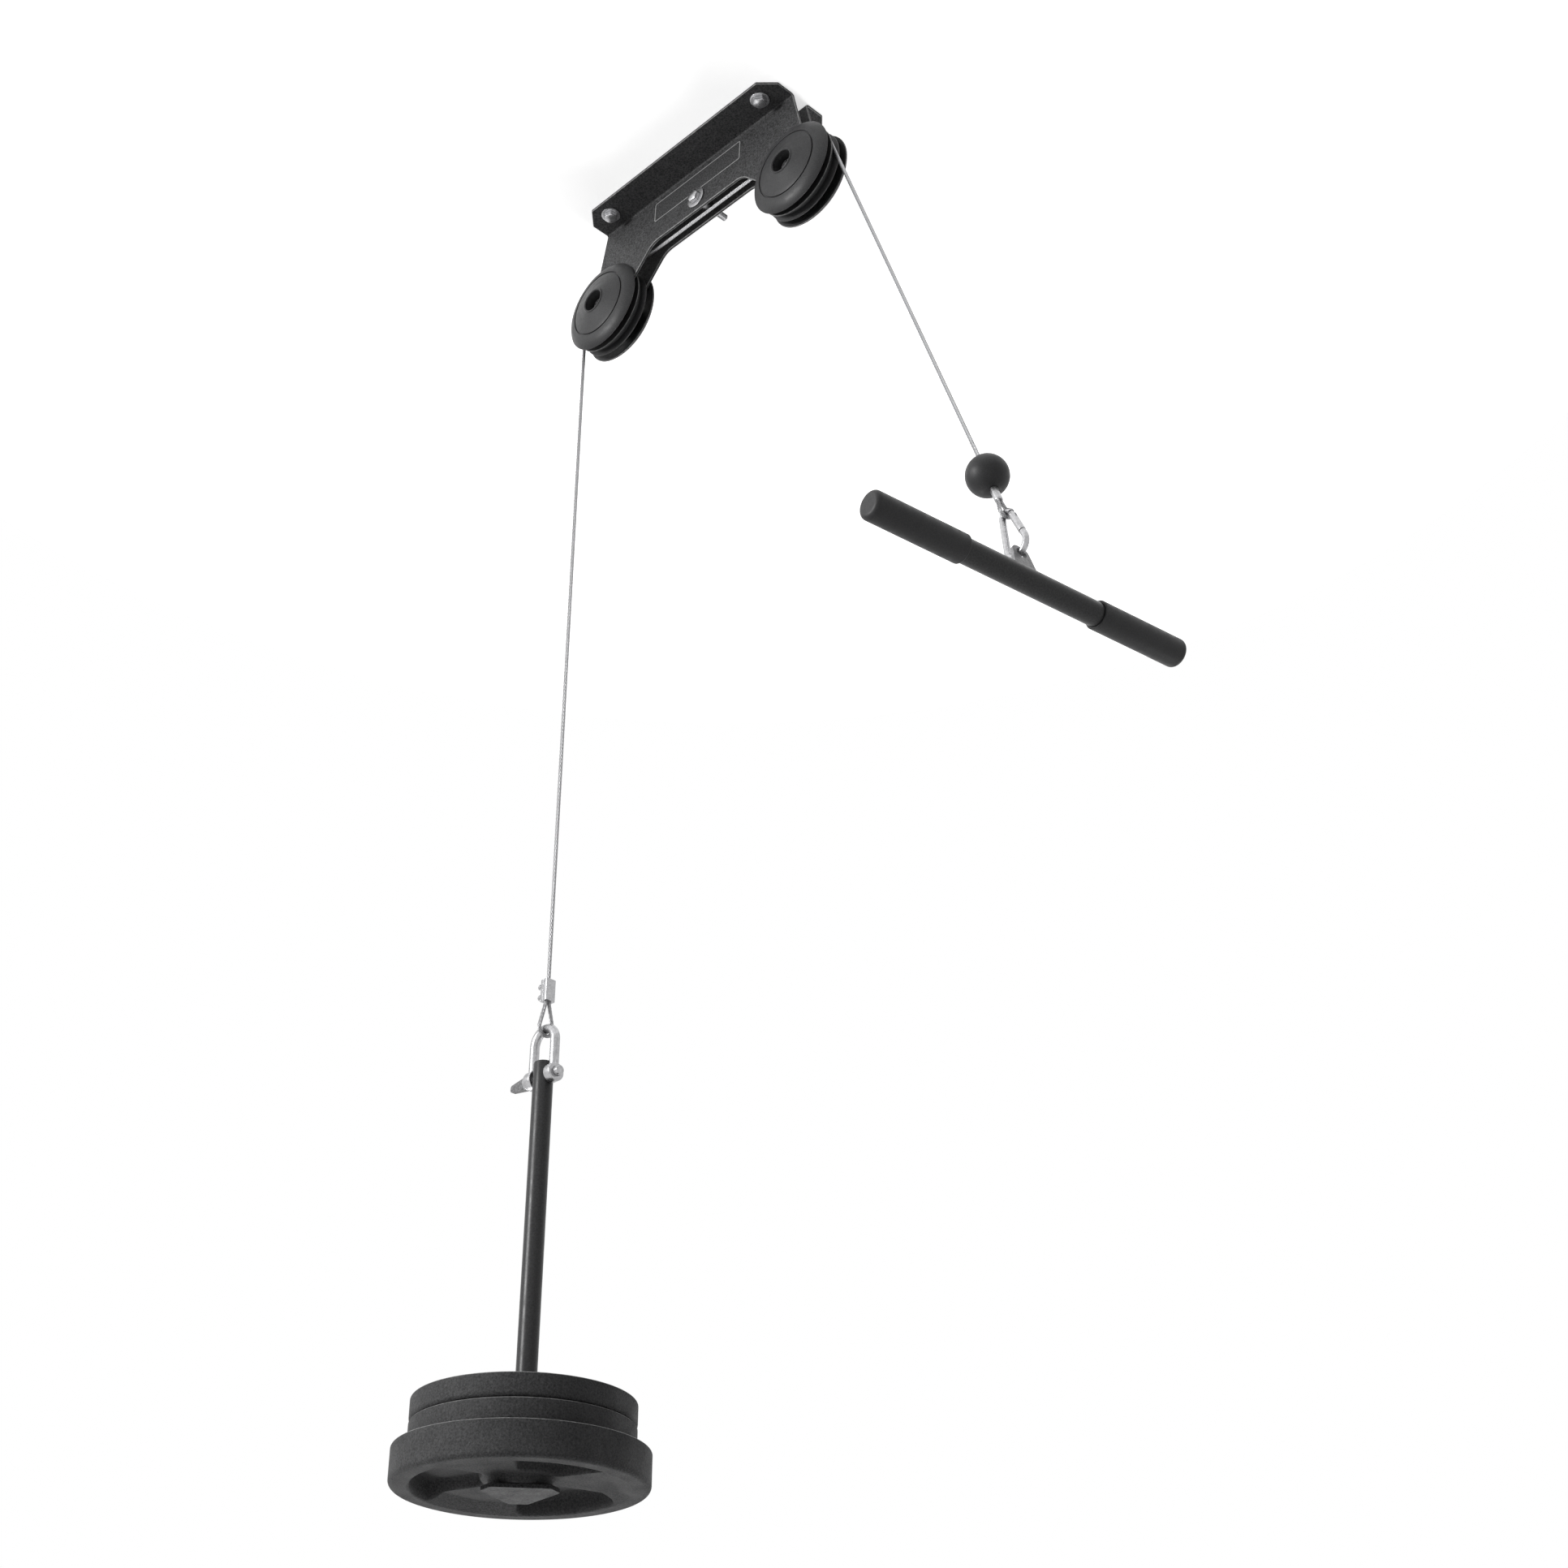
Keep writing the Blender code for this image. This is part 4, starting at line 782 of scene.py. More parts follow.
def side_plate(name, side):
    bm = bmesh.new()
    half = PLATE_LENGTH / 2
    edge = WEB_OUT + FLANGE_WIDTH
    bend = arc((WEB_OUT + BEND_RADIUS, -SHEET - BEND_RADIUS), BEND_RADIUS, math.pi / 2, math.pi, 10)

    def vert(x, y, z):
        return bm.verts.new((x, side * y, z))

    rows = [(vert(-half, y, z), vert(half, y, z)) for y, z in bend]
    bridge(bm, rows, wrap=False)
    start = bend[0][0]
    corners = [(half, start), (half, edge - FLANGE_CHAMFER), (half - FLANGE_CHAMFER, edge),
               (-half + FLANGE_CHAMFER, edge), (-half, edge - FLANGE_CHAMFER), (-half, start)]
    flange = rounded(corners, [0] + [FLANGE_CORNER] * 4 + [0], 4, closed=False)[1:-1]
    bm.faces.new([*rows[0]] + [vert(x, y, -SHEET) for x, y in flange])
    bm.faces.new([*rows[-1]] + [vert(x, WEB_OUT, -drop) for x, drop in web_outline()[1:-1]])
    bmesh.ops.recalc_face_normals(bm, faces=bm.faces)
    flat = next(face for face in bm.faces if abs(face.normal.z) > 0.99)
    if flat.normal.z < 0:
        bmesh.ops.reverse_faces(bm, faces=bm.faces)
    plate = fine(name, kept(bm), "black_powder_coat", HERE)
    thick = plate.modifiers.new("sheet", "SOLIDIFY")
    thick.thickness = SHEET
    thick.offset = 1.0
    thick.use_even_offset = True
    lines = [at(x, side * WEB_OUT, z) @ ALONG_Y
             for x, z in ((-PULLEY_X, AXLE_Z), (PULLEY_X, AXLE_Z), (0, CENTRE_BOLT_Z))]
    lines += [at(along * CEILING_BOLT_X, side * CEILING_BOLT_Y, 0) for along in (-1, 1)]
    holes = [(rod(BOLT_RADIUS + FIT, -4 * SHEET, 4 * SHEET, 32), line) for line in lines]
    cut(plate, merged(holes), HERE, sharp=35)
    # The bevels take the lighter edge finish: rubbed coat plus a painted highlight along the sheet's edges
    bevelled(plate, SHEET_EDGE, edge=WORN_AND_LIT_EDGE)
    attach(plate, "bracket")


def web_panel():
    """A bare panel on the near web: a thin raised sheet with a printed outline."""
    where = at(0, -WEB_OUT, 0) @ Matrix(((1, 0, 0, 0), (0, 0, -1, 0), (0, 1, 0, 0), (0, 0, 0, 1)))
    sheet = rounded(PANEL_CORNERS, [PANEL_ROUND] * 4)
    add("web_panel", prism(sheet, 0, PANEL_THICKNESS), "black_powder_coat", where, "bracket")
    middle = sum(z for _, z in PANEL_CORNERS) / 4
    inner = [(x * OUTLINE_SCALE_X, middle + (z - middle) * OUTLINE_SCALE_Z) for x, z in PANEL_CORNERS]
    outer = [Vector(p) for p in rounded(inner, [OUTLINE_ROUND] * 4)]
    inner = []
    # The outline runs counter-clockwise, so its inside is on its left
    for i, here in enumerate(outer):
        along = (outer[(i + 1) % len(outer)] - outer[i - 1]).normalized()
        inner.append(here + Vector((-along.y, along.x)) * OUTLINE_WIDTH)
    bm = bmesh.new()
    bridge(bm, [[bm.verts.new((*spot, OUTLINE_TOP)) for spot in row] for row in (outer, inner)])
    thicken(bm, list(bm.faces), -OUTLINE_THICKNESS)
    add("web_panel_outline", finished(bm), "black_powder_coat", where, "bracket", finish=OUTLINE_PRINT)


def cover_profile():
    """Closed half section of a cover: a domed rim, a groove, a sloping face and the bolt's well."""
    rim = COVER_BACK + COVER_RIM
    across = COVER_RADIUS - COVER_RING_RADIUS
    up = COVER_SHOULDER - rim
    bulge = COVER_BULGE / math.hypot(across, up)
    dome = []
    for k in (n / DOME_STEPS for n in range(1, DOME_STEPS)):
        swell = 4 * k * (1 - k) * bulge
        dome.append((COVER_RADIUS - across * k + swell * up, rim + up * k + swell * across))
    hub = COVER_HOLE_RADIUS + COVER_WALL
    inside = COVER_RADIUS - COVER_WALL
    slope = (COVER_DEPTH - COVER_SHOULDER) / (COVER_RING_RADIUS - COVER_HOLE_RADIUS)
    bore = BOLT_RADIUS + FIT
    cavity = [(bore, GAP), (hub, GAP), (hub, COVER_DEPTH - COVER_WALL - slope * COVER_WALL),
              (COVER_RING_RADIUS - COVER_WALL, COVER_SHOULDER - COVER_WALL),
              (inside, rim), (inside, COVER_BACK)]
    foot = [(COVER_RADIUS - COVER_CHAMFER, COVER_BACK), (COVER_RADIUS, COVER_BACK + COVER_CHAMFER),
            (COVER_RADIUS, rim)]
    groove = [(COVER_RING_RADIUS + out, COVER_SHOULDER + rise) for out, rise in COVER_GROOVE]
    first = COVER_RING_RADIUS - FACE_START
    last = COVER_HOLE_RADIUS + LIP_WIDTH
    face = []
    for n in range(1, FACE_STEPS + 1):
        r = first - (first - last) * n / FACE_STEPS
        face.append((r, COVER_SHOULDER + (COVER_RING_RADIUS - r) * slope - FACE_DROP * n / FACE_STEPS))
    lip = [(COVER_HOLE_RADIUS + out, COVER_DEPTH + rise) for out, rise in COVER_LIP]
    lip = rounded([face[-1], *lip, (COVER_HOLE_RADIUS, COVER_FLOOR)], LIP_ROUNDS, 4, closed=False)[1:]
    return cavity + foot + dome + groove + face + lip + [(bore, COVER_FLOOR)]


def wheel_profile():
    """Closed half section of a wheel: the bearing's seat, a thin web and the rim with its rope groove."""
    half = WHEEL_WIDTH / 2
    low = ROPE_PITCH_RADIUS - ROPE_RADIUS - WHEEL_GROOVE_SLACK
    bore = BEARING_RADIUS + FIT
    hub = bore + WHEEL_HUB
    rim = low - WHEEL_RIM
    groove = [(low + WHEEL_GROOVE_RADIUS * (1 - math.cos(a)), WHEEL_GROOVE_RADIUS * math.sin(a))
              for a in (math.radians(d) for d in (75, 60, 45, 30, 15))]
    side = [(bore, half), (hub, half), (hub, WHEEL_WEB), (rim, WHEEL_WEB), (rim, half),
            (WHEEL_RADIUS - WHEEL_CHAMFER, half), (WHEEL_RADIUS, half - WHEEL_CHAMFER),
            (WHEEL_RADIUS, half - WHEEL_LIP + WHEEL_LIP_CHAMFER),
            (WHEEL_RADIUS - WHEEL_LIP_CHAMFER, half - WHEEL_LIP)] + groove
    return side + [(low, 0)] + [(r, -y) for r, y in reversed(side)]


def pulley(side, x, wheel_body):
    axle = at(x, 0, AXLE_Z) @ ALONG_Y
    back = at(x, 0, AXLE_Z) @ turn("X", math.radians(90))
    for word, line in (("near", back), ("far", axle)):
        cover = fine(f"{side}_{word}_cover", turned(cover_profile(), 128, closed=True), "black_plastic",
                     line @ at(0, 0, WEB_OUT), "bracket", sharp=28)
        # The covers' foot chamfer takes the lighter edge finish: on this plastic it is a painted highlight
        repaint(cover, WORN_AND_LIT_EDGE, lambda spot: spot.xy.length > COVER_RADIUS - COVER_CHAMFER + PAINT_MARGIN
                and COVER_BACK + PAINT_MARGIN < spot.z < COVER_BACK + COVER_CHAMFER - PAINT_MARGIN)
    seat = WEB_OUT + COVER_FLOOR + GAP
    bolt(f"{side}_axle_bolt", 2 * seat + NUT_HEIGHT + AXLE_BOLT_TAIL, AXLE_THREAD, axle @ at(0, 0, -seat))
    nut(f"{side}_axle_nut", axle @ at(0, 0, seat))
    wheel = fine(f"{side}_pulley_wheel", turned(wheel_profile(), 112, closed=True), "black_plastic", axle,
                 wheel_body, sharp=28)
    # The wheels' lip chamfer takes the lighter edge finish: a painted highlight on the plastic
    repaint(wheel, WORN_AND_LIT_EDGE, lambda spot: spot.xy.length > WHEEL_RADIUS - WHEEL_CHAMFER
            and WHEEL_WIDTH / 2 - WHEEL_CHAMFER + PAINT_MARGIN < abs(spot.z) < WHEEL_WIDTH / 2 - PAINT_MARGIN)
    for part in ("axle_sleeve", "bearing_inner_ring", "bearing_balls", "bearing_outer_ring"):
        node = frame["nodes"][f"{side}_{part}"]
        node.data.materials.clear()
        node.data.materials.append(FINISHES["bearing_steel"])


def bracket():
    side_plate("near_side_plate", -1)
    side_plate("far_side_plate", 1)
    web_panel()
    under = -SHEET - GAP
    number = 0
    for y in (-CEILING_BOLT_Y, CEILING_BOLT_Y):
        for x in (-CEILING_BOLT_X, CEILING_BOLT_X):
            number += 1
            spin = turn("Z", math.radians(CEILING_BOLT_SPIN * number))
            washer(f"ceiling_washer_{number}", WASHER_RADIUS, at(x, y, under - WASHER_THICKNESS))
            seat = under - WASHER_THICKNESS - GAP
            bolt(f"ceiling_bolt_{number}", -seat - GAP, 0, at(x, y, seat) @ spin)
    line = at(0, 0, CENTRE_BOLT_Z) @ ALONG_Y
    washer("centre_washer_near", CENTRE_WASHER_RADIUS, line @ at(0, 0, -WEB_OUT - GAP - WASHER_THICKNESS))
    washer("centre_washer_far", CENTRE_WASHER_RADIUS, line @ at(0, 0, WEB_OUT + GAP))
    half = WEB_IN - GAP
    spacer = ring(BOLT_RADIUS + FIT, SPACER_RADIUS, -half, half, 64, SPACER_BEVEL)
    fine("centre_spacer", spacer, "zinc", line, "bracket")
    seat = WEB_OUT + WASHER_THICKNESS + 2 * GAP
    nut("centre_nut", line @ at(0, 0, seat))
    bolt("centre_bolt", 2 * seat + NUT_HEIGHT + CENTRE_BOLT_TAIL, CENTRE_THREAD, line @ at(0, 0, -seat))
    pulley("weight", -PULLEY_X, "weight_pulley")
    pulley("handle", PULLEY_X, "handle_pulley")


# The rope


def eye_points(length, radius, start):
    """An eye that hangs below two close strands, in the local YZ plane."""
    apart = ROPE_RADIUS + GAP
    centre = length - radius
    drop = centre - EYE_STRAIGHT
    reach = math.hypot(drop, apart)
    touch = math.pi / 2 - math.atan2(apart, drop) - math.acos(radius / reach)
    round_part = [(y, centre - z) for y, z in arc((0, 0), radius, touch, -math.pi - touch, 48)]
    path = [(apart, 0), (apart, EYE_STRAIGHT)] + round_part + [(-apart, EYE_STRAIGHT), (-apart, 0)]
    return [(0, y, -(start + below)) for y, below in path]


def rope(name, points, normal, node, body=None, finish=None):
    return add(name, strands(points, normal), "wire_rope", HERE, body, [node], finish, 60)


def ropes():
    flat = (0, 1, 0)
    middle = [(0, 0, AXLE_Z + ROPE_PITCH_RADIUS)]
    left = arc((-PULLEY_X, AXLE_Z), ROPE_PITCH_RADIUS, math.pi, math.pi / 2, 40)
    right = arc((PULLEY_X, AXLE_Z), ROPE_PITCH_RADIUS, math.pi / 2, ROPE_SLANT, 32)
    top = (WEIGHT_X, 0, AXLE_Z)
    low = (WEIGHT_X, 0, CLAMP_TOP)
    end = tuple(TANGENT + PULL * (HANDLE_ROPE_LENGTH + FERRULE_START))
    piece = rope("rope_over_weight_pulley", [(x, 0, z) for x, z in left] + middle, flat, "rope_over_pulleys",
                 finish=CLEAN_ROPE)
    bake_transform(piece)
    piece = rope("rope_over_handle_pulley", middle + [(x, 0, z) for x, z in right], flat, "rope_over_pulleys",
                 finish=CLEAN_ROPE)
    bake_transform(piece)
    piece = rope("weight_rope_strands", [top, low], flat, "weight_rope_run")
    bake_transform(piece)
    piece = rope("handle_rope_strands", [tuple(TANGENT), end], flat, "handle_rope_run")
    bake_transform(piece)
    for name, node, body, where, eye in (
            ("weight_rope_eye_strands", "weight_rope_eye", "weight_end", WEIGHT_LINE,
             eye_points(WEIGHT_EYE_LENGTH, WEIGHT_EYE_RADIUS, -CLAMP_BOTTOM)),
            ("handle_rope_eye_strands", "handle_rope_eye", "handle_end", ROPE_END_FRAME,
             eye_points(HANDLE_EYE_LENGTH, HANDLE_EYE_RADIUS, FERRULE_START + FERRULE_LENGTH))):
        normal = where.to_3x3() @ Vector((1, 0, 0))
        rope(name, [where @ Vector(p) for p in eye], normal, node, body)


# The weight side


def rope_clamp():
    outline = rounded(rectangle(CLAMP_WIDTH, CLAMP_DEPTH), [CLAMP_ROUND] * 4)
    block = fine("rope_clamp", prism(outline, CLAMP_BOTTOM, CLAMP_TOP), "zinc", WEIGHT_LINE)
    seams = [(prism(rectangle(SEAM_WIDTH, SEAM_DEPTH), CLAMP_BOTTOM - OVERCUT, CLAMP_TOP + OVERCUT),
              at(WEIGHT_X, side * CLAMP_DEPTH / 2, 0)) for side in (-1, 1)]
    cut(block, merged(seams), HERE, sharp=35)
    bevelled(block, CLAMP_EDGE, 2)
    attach(block, "weight_end")
    middle = (CLAMP_TOP + CLAMP_BOTTOM) / 2
    crown = -GAP - CLAMP_HEAD_HEIGHT
    head = CLAMP_HEAD_RADIUS
    profile = [(0, SCREW_LENGTH), (SCREW_RADIUS, SCREW_LENGTH), (SCREW_RADIUS, -GAP), (head, -GAP),
               (head, crown * SCREW_SHOULDER), (head * SCREW_CROWN, crown), (0, crown)]
    profile = rounded(profile, SCREW_ROUNDS, 5, closed=False)
    for word, up in (("upper", 0.5), ("lower", -0.5)):
        where = at(WEIGHT_X - CLAMP_WIDTH / 2, CLAMP_SCREW_Y, middle + up * CLAMP_SCREW_SPACING) @ ALONG_X
        screw = fine(f"clamp_screw_{word}", turned(profile, 48), "zinc", where, "weight_end", sharp=40)
        socket = hexed(SOCKET_FLATS, crown - OVERCUT, crown + SOCKET_DEPTH, chamfer_high=False)
        cut(screw, socket, where, sharp=35)


def shackle():
    half = SHACKLE_HALF_WIDTH
    knee = (SHACKLE_PIN_Z + BOW_CENTRE_Z) / 2
    bend = arc((0, BOW_CENTRE_Z), half, math.pi, 0, 48)
    path = [(-half, SHACKLE_PIN_Z), (-half, knee)] + bend + [(half, knee), (half, SHACKLE_PIN_Z)]
    bow = fine("shackle_bow", swept([(x, 0, z) for x, z in path], SHACKLE_WIRE, 32), "zinc", WEIGHT_LINE)
    inside = ROD_RADIUS + 2 * GAP
    outside = half + SHACKLE_WIRE
    ears = [(rod(SHACKLE_EAR_RADIUS, low, high, 64, EAR_ROUNDS, 6), SHACKLE_PIN_LINE)
            for low, high in ((-outside, -inside), (inside, outside))]
    cut(bow, merged(ears), HERE, "UNION")
    cut(bow, rod(SHACKLE_PIN_RADIUS + FIT, -2 * half, 2 * half, 64), SHACKLE_PIN_LINE, sharp=42)
    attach(bow, "shackle")
    tip = outside + SHACKLE_PIN_TIP
    seat = -outside - GAP
    tab_start = seat - SHACKLE_COLLAR
    profile = [(0, tip), (SHACKLE_PIN_RADIUS, tip), (SHACKLE_PIN_RADIUS, seat), (SHACKLE_COLLAR_RADIUS, seat),
               (SHACKLE_COLLAR_RADIUS, tab_start), (0, tab_start)]
    profile = rounded(profile, SHACKLE_PIN_ROUNDS, closed=False)
    pin = fine("shackle_pin", turned(profile, 64), "zinc", SHACKLE_PIN_LINE)
    wide = SHACKLE_TAB_WIDTH / 2
    narrow = SHACKLE_TAB_TIP / 2
    outline = rounded([(0, -wide), (-SHACKLE_TAB_LENGTH, -narrow), (-SHACKLE_TAB_LENGTH, narrow), (0, wide)],
                      [0, TAB_ROUND, TAB_ROUND, 0], 8)
    tab = prism(outline, -SHACKLE_TAB_THICKNESS / 2, SHACKLE_TAB_THICKNESS / 2)
    where = at(WEIGHT_X + tab_start + SHACKLE_COLLAR / 2, 0, SHACKLE_PIN_Z) @ turn("X", math.radians(90))
    cut(pin, tab, where, "UNION", sharp=35)
    repaint(pin, WORN_ZINC, lambda spot: spot.z < tab_start)
    bevelled(pin, SHACKLE_PIN_EDGE, angle=50)
    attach(pin, "shackle")


def loading_pin():
    profile = rounded([(0, ROD_BOTTOM), (ROD_RADIUS, ROD_BOTTOM), (ROD_RADIUS, ROD_TOP), (0, ROD_TOP)],
                      [0, 0, ROD_ROUND, 0], 5, closed=False)
    middle = [(ROD_RADIUS, ROD_BOTTOM + (ROD_TOP - ROD_BOTTOM) * k / ROD_BANDS) for k in range(1, ROD_BANDS)]
    pin = fine("loading_pin", turned(profile[:2] + middle + profile[2:], 72), "black_powder_coat",
               WEIGHT_LINE, finish=BLACK_PAINT)
    cut(pin, rod(SHACKLE_PIN_RADIUS + FIT, -2 * ROD_RADIUS, 2 * ROD_RADIUS), SHACKLE_PIN_LINE, sharp=35)
    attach(pin, "weight_rod")
    corners = []
    for i in range(3):
        spin = turn("Z", BASE_TURN + i * 2 * math.pi / 3)
        corners += [(spin @ Vector((BASE_REACH, y, 0))).xy for y in (-BASE_CORNER / 2, BASE_CORNER / 2)]
    outline = rounded(corners, [BASE_ROUND] * 6, 8)
    top = ROD_BOTTOM - GAP
    base = fine("pin_base", prism(outline, top - BASE_THICKNESS, top), "black_powder_coat", WEIGHT_LINE,
                "weight_rod")
    bevelled(base, BASE_EDGE)


def pocket_share(r, angle, outer):
    """Share of the pockets' depth at a place on the lower face, with sloping walls and round corners."""
    part = 2 * math.pi / 3
    away = (angle - POCKET_TURN + part / 2) % part - part / 2
    side = (POCKET_SPAN / 2 - abs(away)) * r
    radial = min(outer - r, r - POCKET_INNER)
    if side < POCKET_CORNER and radial < POCKET_CORNER:
        inside = POCKET_CORNER - math.hypot(POCKET_CORNER - side, POCKET_CORNER - radial)
    else:
        inside = min(side, radial)
    k = min(max(inside / POCKET_WALL + POCKET_LEAD, 0.0), 1.0)
    return k * k * (3 - 2 * k)


def plate_mesh(radius, thickness, pockets):
    """A cast plate as rings of points: bore, lower face, edge, upper face."""
    rim = radius - RIM_WIDTH
    floor = rim - DISH_BEVEL
    hub_foot = HUB_RADIUS + HUB_DRAFT
    upper = thickness - TOP_DISH_DEPTH
    section = rounded([(PLATE_BORE_RADIUS, 0), (HUB_RADIUS, 0), (hub_foot, DISH_DEPTH), (floor, DISH_DEPTH),
                       (rim, 0), (radius, 0), (radius, thickness), (rim, thickness), (floor, upper),
                       (hub_foot, upper), (HUB_RADIUS, thickness), (PLATE_BORE_RADIUS, thickness)],
                      PLATE_ROUNDS, 7)
    profile = []
    for (ra, za), (rb, zb) in zip(section, section[1:] + section[:1]):
        count = 1
        if pockets and min(za, zb) <= thickness / 2:
            count = max(1, round(math.hypot(rb - ra, zb - za) / POCKET_STEP))
        profile += [(ra + (rb - ra) * k / count, za + (zb - za) * k / count) for k in range(count)]
    outer = rim - POCKET_MARGIN
    bm = bmesh.new()
    grid = []
    for r, z in profile:
        row = []
        for angle in around(360 if pockets else 160):
            height = z
            if pockets and z < thickness * LOWER_SHARE and HUB_RADIUS < r < rim:
                height = max(z, z + (POCKET_DEPTH - z) * pocket_share(r, angle, outer))
            row.append(bm.verts.new((r * math.cos(angle), r * math.sin(angle), height)))
        grid.append(row)
    bridge(bm, grid + grid[:1])
    return finished(bm)


def weight_plate(name, radius, thickness, pockets, z, body):
    mesh = plate_mesh(radius, thickness, pockets)
    plate = fine(name, mesh, "plate_black", at(WEIGHT_X, 0, z), body, sharp=60)
    # The upper edge takes the lighter edge finish: worn coat and a painted highlight
    repaint(plate, WORN_AND_LIT_EDGE, lambda spot: spot.z > thickness - WORN_AND_LIT_RIM
            and spot.xy.length > radius - WORN_AND_LIT_RIM)


def weight_plates():
    lower = ROD_BOTTOM + LARGE_THICKNESS + GAP
    upper = lower + SMALL_THICKNESS + GAP
    weight_plate("large_plate", LARGE_RADIUS, LARGE_THICKNESS, True, ROD_BOTTOM, "large_weight")
    weight_plate("small_plate_lower", SMALL_RADIUS, SMALL_THICKNESS, False, lower, "lower_small_weight")
    weight_plate("small_plate_upper", SMALL_RADIUS, SMALL_THICKNESS, False, upper, "upper_small_weight")


# The handle side


def handle_end():
    mouth = FERRULE_RADIUS + FIT
    hole = ROPE_RADIUS + FIT
    low = math.asin(mouth / BALL_STOP_RADIUS)
    high = math.asin(hole / BALL_STOP_RADIUS)
    ball = [(r, z) for z, r in arc((0, 0), BALL_STOP_RADIUS, math.pi - low, high, 64)]
    profile = ball + [(hole, -FERRULE_START + GAP), (mouth, -FERRULE_START + GAP)]
    fine("stop_ball", turned(profile, 112, closed=True), "rubber", ROPE_END_FRAME, "handle_end", sharp=50)
    ferrule = rod(FERRULE_RADIUS, -FERRULE_START - FERRULE_LENGTH, -FERRULE_START, 64, FERRULE_ROUNDS, 6)
    fine("ferrule", ferrule, "zinc", ROPE_END_FRAME, "handle_end", sharp=50)


def carabiner():
    lean = math.asin((HOOK_LOW_RADIUS - HOOK_TOP_RADIUS) / HOOK_CENTRES)
    top = Vector((HOOK_TOP_RADIUS * math.cos(lean), HOOK_TOP_RADIUS * math.sin(lean)))
    low = Vector((HOOK_LOW_RADIUS * math.cos(lean), -HOOK_CENTRES + HOOK_LOW_RADIUS * math.sin(lean)))
    down = (low - top).normalized()

    def on_side(s):
        spot = top + down * s
        return (spot.x, 0, spot.y)

    low_bend = arc((0, -HOOK_CENTRES), HOOK_LOW_RADIUS, lean, -math.pi - lean, 44)
    top_bend = arc((0, 0), HOOK_TOP_RADIUS, math.pi - lean, lean, 28)
    path = [on_side(GATE_END + GATE_CLEARANCE)] + [(x, 0, z) for x, z in low_bend + top_bend]
    body = fine("carabiner_body", swept(path, HOOK_WIRE, 28), "zinc", HOOK_FRAME)
    side_frame = HOOK_FRAME @ at(*on_side(0)) @ turn("Y", math.atan2(-down.x, -down.y))
    tongue = prism(rectangle(TONGUE_WIDTH, TONGUE), -TONGUE_LENGTH, HOOK_WIRE / 4)
    cut(body, tongue, side_frame, "UNION")
    pin_line = side_frame @ at(0, 0, -GATE_PIN_PLACE) @ ALONG_Y
    cut(body, rod(GATE_PIN_RADIUS + FIT, -THROUGH, THROUGH, 32), pin_line, sharp=40)
    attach(body, "carabiner")
    r = GATE_RADIUS
    gate = fine("carabiner_gate", rod(r, -GATE_END, -GATE_START, 56, GATE_ROUNDS, 6), "zinc", side_frame)
    slot = prism(rectangle(2 * THROUGH, GATE_SLOT), -GATE_PIN_PLACE - GATE_SLOT_DEPTH, r)
    cut(gate, slot, side_frame)
    cut(gate, rod(GATE_PIN_RADIUS + FIT, -THROUGH, THROUGH, 32), pin_line, sharp=40)
    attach(gate, "gate")
    gate_pin = rod(GATE_PIN_RADIUS, -r, r, 32, GATE_PIN_ROUNDS)
    fine("carabiner_gate_pin", gate_pin, "zinc", pin_line, "carabiner")


def bar():
    across = BAR_FRAME @ ALONG_Y
    reach = BAR_LENGTH / 2 - GRIP_END - GAP
    tube = ring(TUBE_RADIUS - TUBE_WALL, TUBE_RADIUS, -reach, reach, 96)
    fine("bar_tube", tube, "black_powder_coat", across, "bar", BLACK_PAINT)
    hole_z = HOOK_TO_BAR + HOOK_WIRE + LUG_SLACK - LUG_HOLE_RADIUS
    crown = hole_z + LUG_HOLE_RADIUS + LUG_CROWN
    foot = TUBE_RADIUS + GAP
    corners = [(-LUG_BASE / 2, foot), (LUG_BASE / 2, foot), (LUG_TOP / 2, crown), (-LUG_TOP / 2, crown)]
    outline = rounded(corners, [0, 0, LUG_CORNER, LUG_CORNER], 14)
    upright = BAR_FRAME @ Matrix(((0, 0, 1, 0), (1, 0, 0, 0), (0, 1, 0, 0), (0, 0, 0, 1)))
    lug = fine("bar_lug", prism(outline, -LUG_THICKNESS / 2, LUG_THICKNESS / 2), "black_powder_coat", upright,
               finish=GREY_WELD)
    cut(lug, rod(LUG_HOLE_RADIUS, -THROUGH, THROUGH), upright @ at(0, hole_z, 0), sharp=35)
    bevelled(lug, LUG_EDGE)
    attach(lug, "bar")
    end = BAR_LENGTH / 2
    bore = TUBE_RADIUS + GAP
    profile = [(bore, end - GRIP_LENGTH), (GRIP_RADIUS, end - GRIP_LENGTH), (GRIP_RADIUS, end), (0, end),
               (0, end - GRIP_END), (bore, end - GRIP_END)]
    profile = rounded(profile, [0, GRIP_MOUTH_ROUND, GRIP_ROUND, 0, 0, 0], 10)
    for name, facing in (("left_grip", turn("X", math.pi)), ("right_grip", HERE)):
        fine(name, turned(profile, 96, closed=True), "rubber", across @ facing, "bar", sharp=50)


bracket()
ropes()
rope_clamp()
shackle()
loading_pin()
weight_plates()
handle_end()
carabiner()
bar()


# Surroundings


def shown_to(graph):
    """1 for rays by which the camera, metal and glass see a surface, 0 for those that light others."""
    rays = graph.add("ShaderNodeLightPath", {}).outputs
    total = rays["Is Camera Ray"]
    for ray in ("Is Glossy Ray", "Is Transmission Ray"):
        total = graph.add("ShaderNodeMath", {0: total, 1: rays[ray]}, operation="MAXIMUM").outputs[0]
    return total


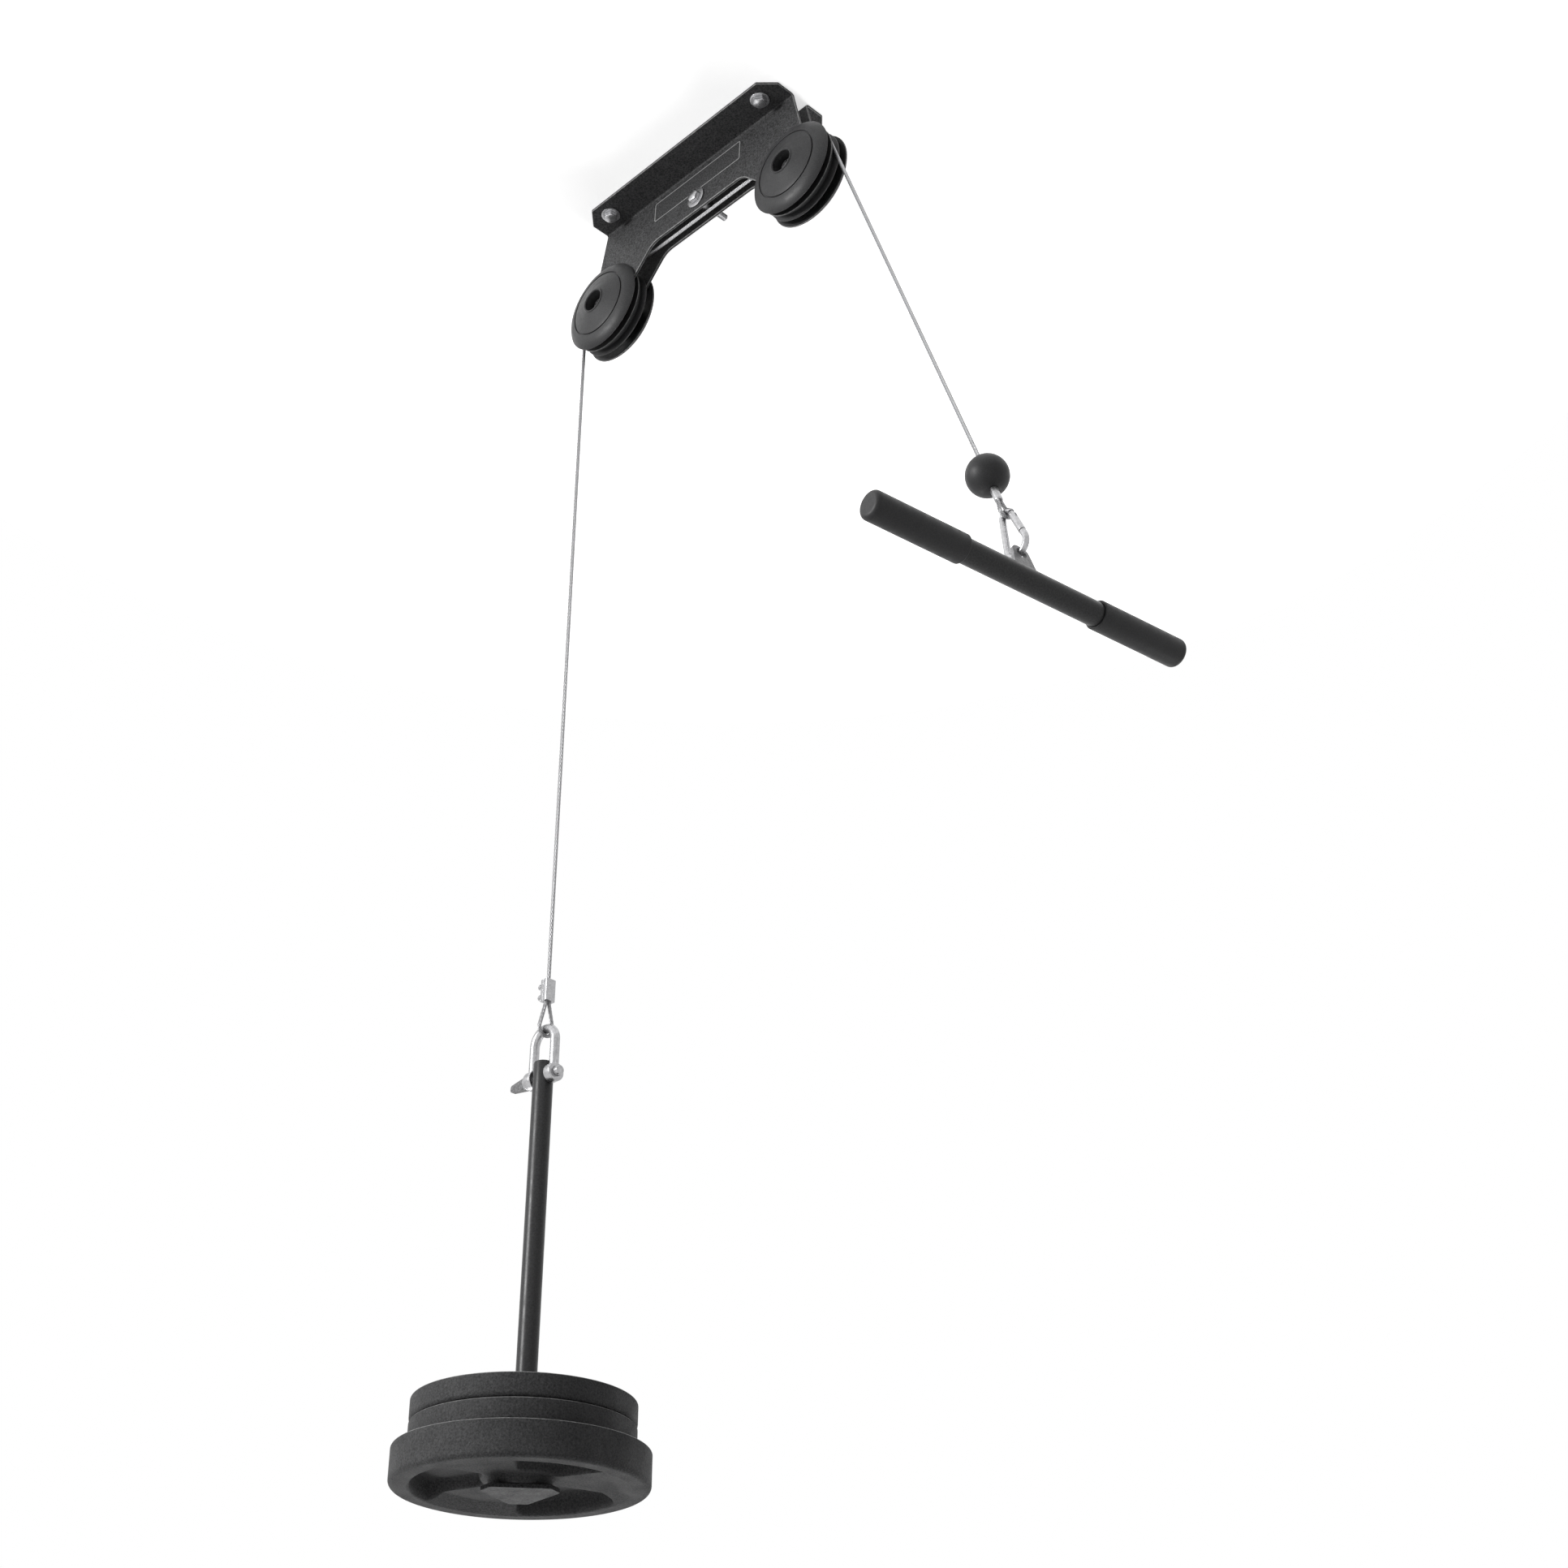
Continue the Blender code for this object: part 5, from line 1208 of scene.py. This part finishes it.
def backdrop(name, radius, height, colour, glow, near, far, one_sided=False):
    """A white disc that keeps shadows, lightened by a glow that grows to white away from its middle."""
    bpy.ops.mesh.primitive_circle_add(vertices=96, radius=radius, fill_type="NGON", location=(0, 0, height))
    piece = bpy.context.object
    piece.name = name
    material = bpy.data.materials.new(name)
    graph = Graph(material)
    graph.nodes.clear()
    paint = graph.add("ShaderNodeBsdfDiffuse", {"Color": (colour, colour, colour, 1)}).outputs[0]
    reach = graph.add("ShaderNodeVectorMath", {0: graph.place()}, operation="LENGTH").outputs["Value"]
    level = graph.mapped(reach, near, far, glow, 1.0)
    light = graph.add("ShaderNodeEmission", {"Strength": level}).outputs[0]
    both = graph.add("ShaderNodeAddShader", {0: paint, 1: light}).outputs[0]
    seen = graph.mixed(shown_to(graph), paint, both)
    if one_sided:
        below = graph.add("ShaderNodeNewGeometry", {}).outputs["Backfacing"]
        seen = graph.mixed(below, graph.add("ShaderNodeBsdfTransparent", {}).outputs[0], seen)
    graph.add("ShaderNodeOutputMaterial", {"Surface": seen})
    piece.data.materials.append(material)


def world():
    made = bpy.data.worlds.new("studio")
    bpy.context.scene.world = made
    graph = Graph(made)
    graph.nodes.clear()
    light, white = [graph.add("ShaderNodeBackground", {"Color": (1, 1, 1, 1), "Strength": level}).outputs[0]
                    for level in (WORLD_LIGHT, 1.0)]
    graph.add("ShaderNodeOutputWorld", {"Surface": graph.mixed(shown_to(graph), light, white)})


def lamp(name, kind, place, target, watts, **settings):
    data = bpy.data.lights.new(name, kind)
    data.energy = watts
    for key, value in settings.items():
        setattr(data, key, value)
    piece = linked(name, data)
    piece.location = place
    piece.rotation_euler = (Vector(target) - Vector(place)).to_track_quat("-Z", "Y").to_euler()


def camera():
    data = bpy.data.cameras.new("camera")
    data.lens = LENS
    data.sensor_width = SENSOR_WIDTH
    piece = linked("camera", data)
    piece.location = CAMERA_PLACE
    piece.rotation_euler = CAMERA_TURN
    bpy.context.scene.camera = piece


# The ceiling shows only from below, so that it hides nothing in views from above
backdrop("ceiling", radius=1.5, height=0.0004, colour=0.9, glow=0.60, near=0.16, far=0.44, one_sided=True)
# The floor is far enough below for the low camera
backdrop("floor", radius=7.0, height=-3.1, colour=0.85, glow=0.62, near=1.5, far=6.0)
world()
lamp("key", "AREA", place=(-1.2, -3.5, -0.35), target=(-0.1, 0, -0.8), watts=132, size=1.2)
lamp("back", "SPOT", place=(0, 2.46, -1.72), target=(0, -0.05, 0), watts=230, spot_size=math.radians(34),
     spot_blend=1.0, shadow_soft_size=0.7)
lamp("low", "SPOT", place=(-1.4, 0.3, -3.05), target=(-0.25, 0, -1.7), watts=130, spot_size=math.radians(24),
     spot_blend=1.0, shadow_soft_size=0.5)
camera()
bpy.context.scene.view_settings.view_transform = "Standard"
